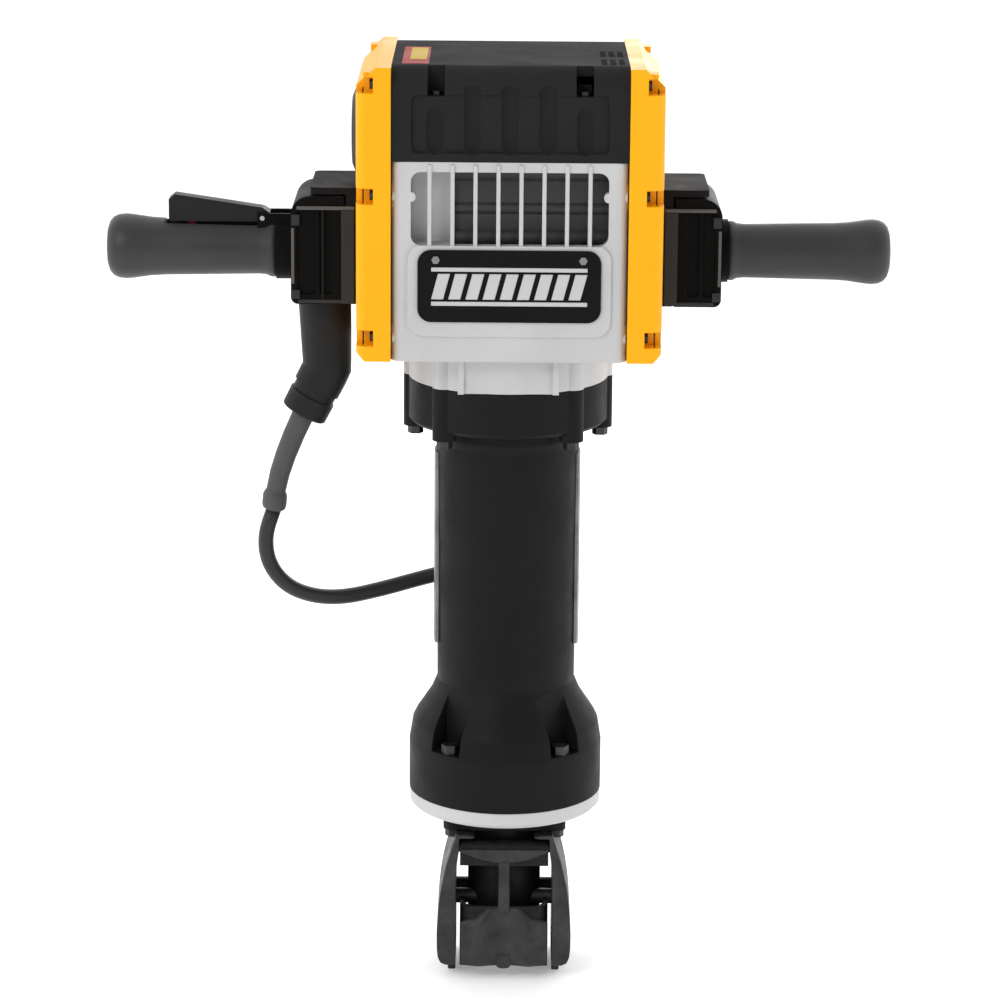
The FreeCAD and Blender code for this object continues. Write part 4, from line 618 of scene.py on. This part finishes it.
GRIP_LEVEL = 625
GRIP_SEGMENTS = 72
GRIP_BORE = 15.2
GRIP_PROFILE = (
    # Distance outward from the grip's root as a share of its length, and radius.
    (0.0, 15.2), (0.0, 22.5), (0.004, 24.2), (0.02, 24.6), (0.036, 24.2), (0.055, 22.8), (0.1, 22.1),
    (0.3, 22.6), (0.5, 23.1), (0.66, 23.5), (0.74, 24.2), (0.8, 25.4), (0.85, 26.4), (0.89, 26.8),
    (0.93, 26.2), (0.96, 24.4), (0.982, 21.0), (0.994, 16.0), (1.0, 9.0), (1.0, 0.0),
)


def lathe(profile, segments=GRIP_SEGMENTS):
    """Vertices and faces of (x, radius) pairs turned about the grips' axis."""
    rows = []
    for x, radius in profile:
        for step in range(segments):
            angle = TAU * step / segments
            rows.append((x, radius * math.sin(angle), GRIP_LEVEL + radius * math.cos(angle)))
    return rows, ring_faces(len(profile), segments)


def grip(name, side, root, tip, body):
    """A rubber sleeve on the handle's tube; the left one has a slot for the trigger."""
    length = tip - root
    outside = [(root + share * length, radius) for share, radius in GRIP_PROFILE]
    bore = [(tip - 6, 0), (tip - 6, GRIP_BORE), (root, GRIP_BORE)]
    rows, faces = lathe([(side * x, radius) for x, radius in outside + bore])
    sleeve = piece(name + "_skin", rows, faces, "grip_rubber", body, smooth=True)
    work = bmesh.new()
    work.from_mesh(sleeve.data)
    bmesh.ops.remove_doubles(work, verts=work.verts, dist=0.01 * MM)
    bmesh.ops.recalc_face_normals(work, faces=work.faces)
    work.to_mesh(sleeve.data)
    work.free()
    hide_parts(name)
    return sleeve


def carve(thing, outline, near, far):
    """Cut an XZ outline drawn along Y out of a piece."""
    rows, faces = extruded(outline, near, far)
    mesh = bpy.data.meshes.new("cutter")
    mesh.from_pydata([tuple(part * MM for part in row) for row in rows], [], faces)
    cutter = bpy.data.objects.new("cutter", mesh)
    scene.collection.objects.link(cutter)
    tidy_mesh(cutter)
    trim = thing.modifiers.new("carve", "BOOLEAN")
    trim.operation = "DIFFERENCE"
    trim.object = cutter
    view = bpy.context.evaluated_depsgraph_get()
    carved = bpy.data.meshes.new_from_object(thing.evaluated_get(view))
    thing.modifiers.clear()
    thing.data = carved
    bpy.data.objects.remove(cutter)


grip("right_grip", 1, 180, 314, "right_handle")
left_sleeve = grip("left_grip", -1, 192, 331.5, "left_handle")
carve(left_sleeve, [(-283, 639), (-190, 639), (-190, 675), (-283, 675)], -10.5, 10.5)


# --- Cord guard and relief under the trigger handle ------------------------------------------------

# Each ring: its centre's x and level, the tilt of its plane in degrees, and its radius.
# The guard goes down to its elbow, bends, has a groove round the spout, and is hollow at the mouth.
GUARD_RINGS = (
    (-152.8, 588, 0, 22.0), (-151.6, 556, 0, 21.2), (-150.9, 531, 1, 20.4), (-150.9, 523.8, 10, 20.5),
    (-153.6, 518.4, 26, 20.2), (-159.4, 507, 28, 20.0), (-159.7, 506.4, 28, 18.4), (-162.6, 500.6, 28, 18.3),
    (-162.9, 500, 28, 19.8), (-170, 486, 28, 19.5), (-170.5, 485.1, 28, 18.6), (-170.3, 485.5, 28, 16.6),
    (-165.6, 494.7, 28, 16.0),
)
# The relief tapers from inside the mouth to a bead at its tip, where the cord begins.
RELIEF_RINGS = (
    (-164.8, 496, 26, 9.4), (-170.2, 485, 24, 9.4), (-178.4, 467, 23, 9.1), (-185.6, 449, 21, 8.8),
    (-190.8, 433, 17, 8.5), (-194, 418.5, 12, 8.2), (-194.4, 416, 11, 9.6), (-194.9, 413.4, 10, 10.3),
    (-195.7, 405.5, 9, 10.3), (-196.1, 402.6, 9, 9.2), (-196.3, 401.2, 9, 6.6),
)


def ringed(rings, segments=44):
    """Vertices and faces of a tube through tilted rings, closed at both ends."""
    rows = []
    for x, level, tilt, radius in rings:
        lean = math.radians(tilt)
        for step in range(segments):
            angle = TAU * step / segments
            reach = radius * math.cos(angle)
            drop = reach * math.sin(lean)
            rows.append((x + reach * math.cos(lean), radius * math.sin(angle), level - drop))
    faces = ring_faces(len(rings), segments)
    faces.append(tuple(range(segments)))
    faces.append(tuple(range(len(rows) - segments, len(rows))))
    return rows, faces


def cord_outlet():
    """The guard and the relief, riding on the trigger handle."""
    for name, rings, slot in (("cord_guard", GUARD_RINGS, "black_plastic"),
                              ("strain_relief", RELIEF_RINGS, "cord_jacket")):
        tube = piece(name + "_form", *ringed(rings), slot, "left_handle", NODE_LOOKS.get(name), smooth=True)
        tidy_mesh(tube)
        tube.data.set_sharp_from_angle(angle=math.radians(28))
        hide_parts(name)


cord_outlet()


# --- Frames on the brackets' faces -----------------------------------------------------------------

BRACKET_FACE = -45
FRAME_BACK = -44.2
FRAME_LOW = 587
FRAME_HIGH = 667
FRAME_INNER = 126
STRIP_OUTER = 136.8
# Each bar: where it starts and ends inward from the bracket's outer edge, its low and high levels,
# how far it stands out, and its look.
FRAME_BARS = (
    (5, 52, FRAME_HIGH - 3, FRAME_HIGH, 1.6, "frame_painted_highlight"),
    (6, 52, FRAME_LOW, FRAME_LOW + 3, 1.2, "frame_painted_shade"),
    (0.6, 3, 603, 649, 1.4, "frame_painted_highlight"),
    (0.8, 7.4, 651, 660, 1.4, "frame_painted_shade"),
    (0.8, 7.4, 590.5, 598, 1.4, "frame_painted_shade"),
)
FRAME_RIB = (25, 27.4, FRAME_LOW + 3, FRAME_HIGH - 3, 0.8, "frame_rib")
# The bars are one black moulding in lit and shaded copies: a grey painted highlight on the top bar and the
# middle of the outer edge, and a dimmer painted shade on the bottom bar, the short pieces and the inner
# strip.
FRAME_LOOKS = {
    "frame_painted_highlight": moulding("frame_painted_highlight_skin", (0.07, 0.07, 0.07), (0.09, 0.09, 0.09),
                            (0.12, 0.12, 0.12), 0.4, shine=0.3),
    "frame_painted_shade": moulding("frame_painted_shade_skin", (0.02, 0.02, 0.021), (0.026, 0.026, 0.027),
                           (0.045, 0.045, 0.045), 0.45, shine=0.2),
    "frame_rib": moulding("frame_rib_skin", (0.006, 0.006, 0.006), (0.008, 0.008, 0.008),
                          (0.02, 0.02, 0.02), 0.45, shine=0.1),
}


def bracket_frame(name, side, outer, body, ribs=()):
    """Raised bars round the sunk face of a bracket, and the broad strip at its inner edge, in painted
    highlight and painted shade.
    """
    strip = (outer - STRIP_OUTER, outer - FRAME_INNER, FRAME_LOW, FRAME_HIGH - 3, 2.2, "frame_painted_shade")
    for count, bar in enumerate((*FRAME_BARS, strip, *ribs), 1):
        start, end, low, high, stand, look = bar
        near = side * (outer - start)
        far = side * max(outer - end, FRAME_INNER)
        outline = [(near, low), (far, low), (far, high), (near, high)]
        shape = extruded(outline, FRAME_BACK, BRACKET_FACE - stand)
        tidy_mesh(piece(f"{name}_bar_{count}", *shape, "black_plastic", body, FRAME_LOOKS[look]), 0.5)


bracket_frame("left_bracket", -1, 178, "left_handle", [FRAME_RIB])
bracket_frame("right_bracket", 1, 173, "right_handle")


# --- Nose: arms with rounded shoulders, and the latch's lobed face ---------------------------------

# The arm's front outline: up its inner edge, over the shoulder's hook, and down the outer edge.
ARM_INNER = (
    (41, 12), (41, 60), (41, 88), (40.6, 98), (39.6, 107), (38.6, 113), (38.3, 125.9), (28, 126),
    (25, 127), (26, 128.6), (30, 129.2),
)
ARM_OUTER = (
    (41, 129.6), (43.6, 120.5), (46.4, 111.5), (48.8, 103), (51, 94), (52.9, 85), (54.5, 75), (55.8, 64),
    (56.7, 52), (57.2, 40), (57.1, 28), (56.2, 19), (54, 14), (49.5, 12),
)
ARM_FRONT = -45.8
ARM_REAR = 30
FOOT_OUTLINE = ((41.2, 0), (47.6, 0), (48.6, 13), (41.2, 13))
FOOT_FRONT = -24
# Each set of cross rods: radius, level, and the y of each rod.
CROSS_RODS = {
    "arm_stay_bolts": (6.6, 64, (-14, 14)),
    "latch_pin": (4, 116, (-38,)),
}
ROD_HALF = 44
LATCH_HALF = 37.5
LATCH_FACE = -45
CUP_FLOOR = 12.2
FACE_COLUMNS = 48
FACE_LEVELS = 14


def guard_arms():
    """The two forged arms, each with a narrow foot under it."""
    for name, side in (("guard_arm_left", -1), ("guard_arm_right", 1)):
        outline = [(side * x, z) for x, z in ARM_INNER + ARM_OUTER]
        foot = [(side * x, z) for x, z in FOOT_OUTLINE]
        arm = piece(name + "_form", *extruded(outline, ARM_FRONT, ARM_REAR), "forged_steel")
        tidy_mesh(arm, 1.6, 3)
        toe = piece(name + "_foot", *extruded(foot, FOOT_FRONT, ARM_REAR), "forged_steel")
        tidy_mesh(toe, 1.0)
        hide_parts(name)


def cross_rods():
    """The two stays and the latch's pin, all ending inside the arms."""
    for name, (radius, level, places) in CROSS_RODS.items():
        parts = []
        for place in places:
            rows, faces = lathe([(-ROD_HALF, 0), (-ROD_HALF, radius), (ROD_HALF, radius), (ROD_HALF, 0)], 28)
            parts.append(([(x, y + place, z - GRIP_LEVEL + level) for x, y, z in rows], faces))
        rods = piece(name + "_form", *joined(parts), "forged_steel")
        tidy_mesh(rods)
        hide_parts(name)


def lobe(x):
    """How far the latch's face stands out at x: two soft lobes with a channel between them."""
    reach = abs(x)
    crest = 6.5 * math.exp(-((reach - 21) / 9) ** 2)
    return 0.5 + crest


def lobed_top(x):
    """The face's top edge: high in the middle, with sloping shoulders."""
    reach = abs(x)
    if reach < 13:
        return 64.5
    if reach < 25:
        return 64.5 - (reach - 13) * 0.75
    return 55.5 - (reach - 25) * 0.35


def face_depth(x, share):
    """The y of the lobed face, `share` of the way up; it fades out towards its edges."""
    fade = min(1.0, 4.5 * (1 - share), 6 * share + 0.35, (LATCH_HALF - abs(x)) / 5 + 0.15)
    return LATCH_FACE - lobe(x) * math.sin(fade * math.pi / 2)


def latch_face():
    """A grid of points for the lobed face and one for its flat back, closed round the rim."""
    rows, faces = [], []
    for flat in (True, False):
        for column in range(FACE_COLUMNS + 1):
            x = -LATCH_HALF + 2 * LATCH_HALF * column / FACE_COLUMNS
            top = lobed_top(x)
            for level in range(FACE_LEVELS + 1):
                share = level / FACE_LEVELS
                y = LATCH_FACE + 0.4 if flat else face_depth(x, share)
                rows.append((x, y, CUP_FLOOR + (top - CUP_FLOOR) * share))
    wide = FACE_LEVELS + 1
    half = (FACE_COLUMNS + 1) * wide
    for column in range(FACE_COLUMNS):
        for level in range(FACE_LEVELS):
            corner = column * wide + level
            quad = (corner, corner + wide, corner + wide + 1, corner + 1)
            faces.append(quad)
            faces.append(tuple(half + index for index in reversed(quad)))
    rim = [column * wide for column in range(FACE_COLUMNS + 1)]
    rim += [FACE_COLUMNS * wide + level for level in range(1, wide)]
    rim += [column * wide + FACE_LEVELS for column in range(FACE_COLUMNS - 1, -1, -1)]
    rim += list(range(FACE_LEVELS - 1, 0, -1))
    for corner, following in zip(rim, rim[1:] + rim[:1]):
        faces.append((corner, half + corner, half + following, following))
    tidy_mesh(piece("latch_face", rows, faces, "forged_steel", "latch", smooth=True))


def mirrored(right_half):
    """A whole outline from its right half, which runs from the top to the middle of the bottom."""
    return right_half + [(-x, z) for x, z in reversed(right_half) if x > 0]


def latch_front():
    """The sagging band under the pin, the rib down to the cup and the thumb nub under it."""
    band = mirrored([(37.4, 116.5), (36.5, 113.5), (30, 111), (22, 108), (12, 105.4), (0, 104.4)])
    rib = mirrored([(4.6, 106), (4.6, 60)])
    nub = mirrored([(5.5, 22), (6.5, 13), (5.5, 10.6), (2.5, 9.4)])
    for name, outline, stand, soft in (("latch_band", band, 0.8, 0.8), ("latch_rib", rib, 1.4, 1.0),
                                       ("latch_nub", nub, 1.6, 1.0)):
        shape = extruded(outline, LATCH_FACE + 1.5, LATCH_FACE - stand)
        tidy_mesh(piece(name, *shape, "forged_steel", "latch"), soft)


guard_arms()
cross_rods()
latch_face()
latch_front()
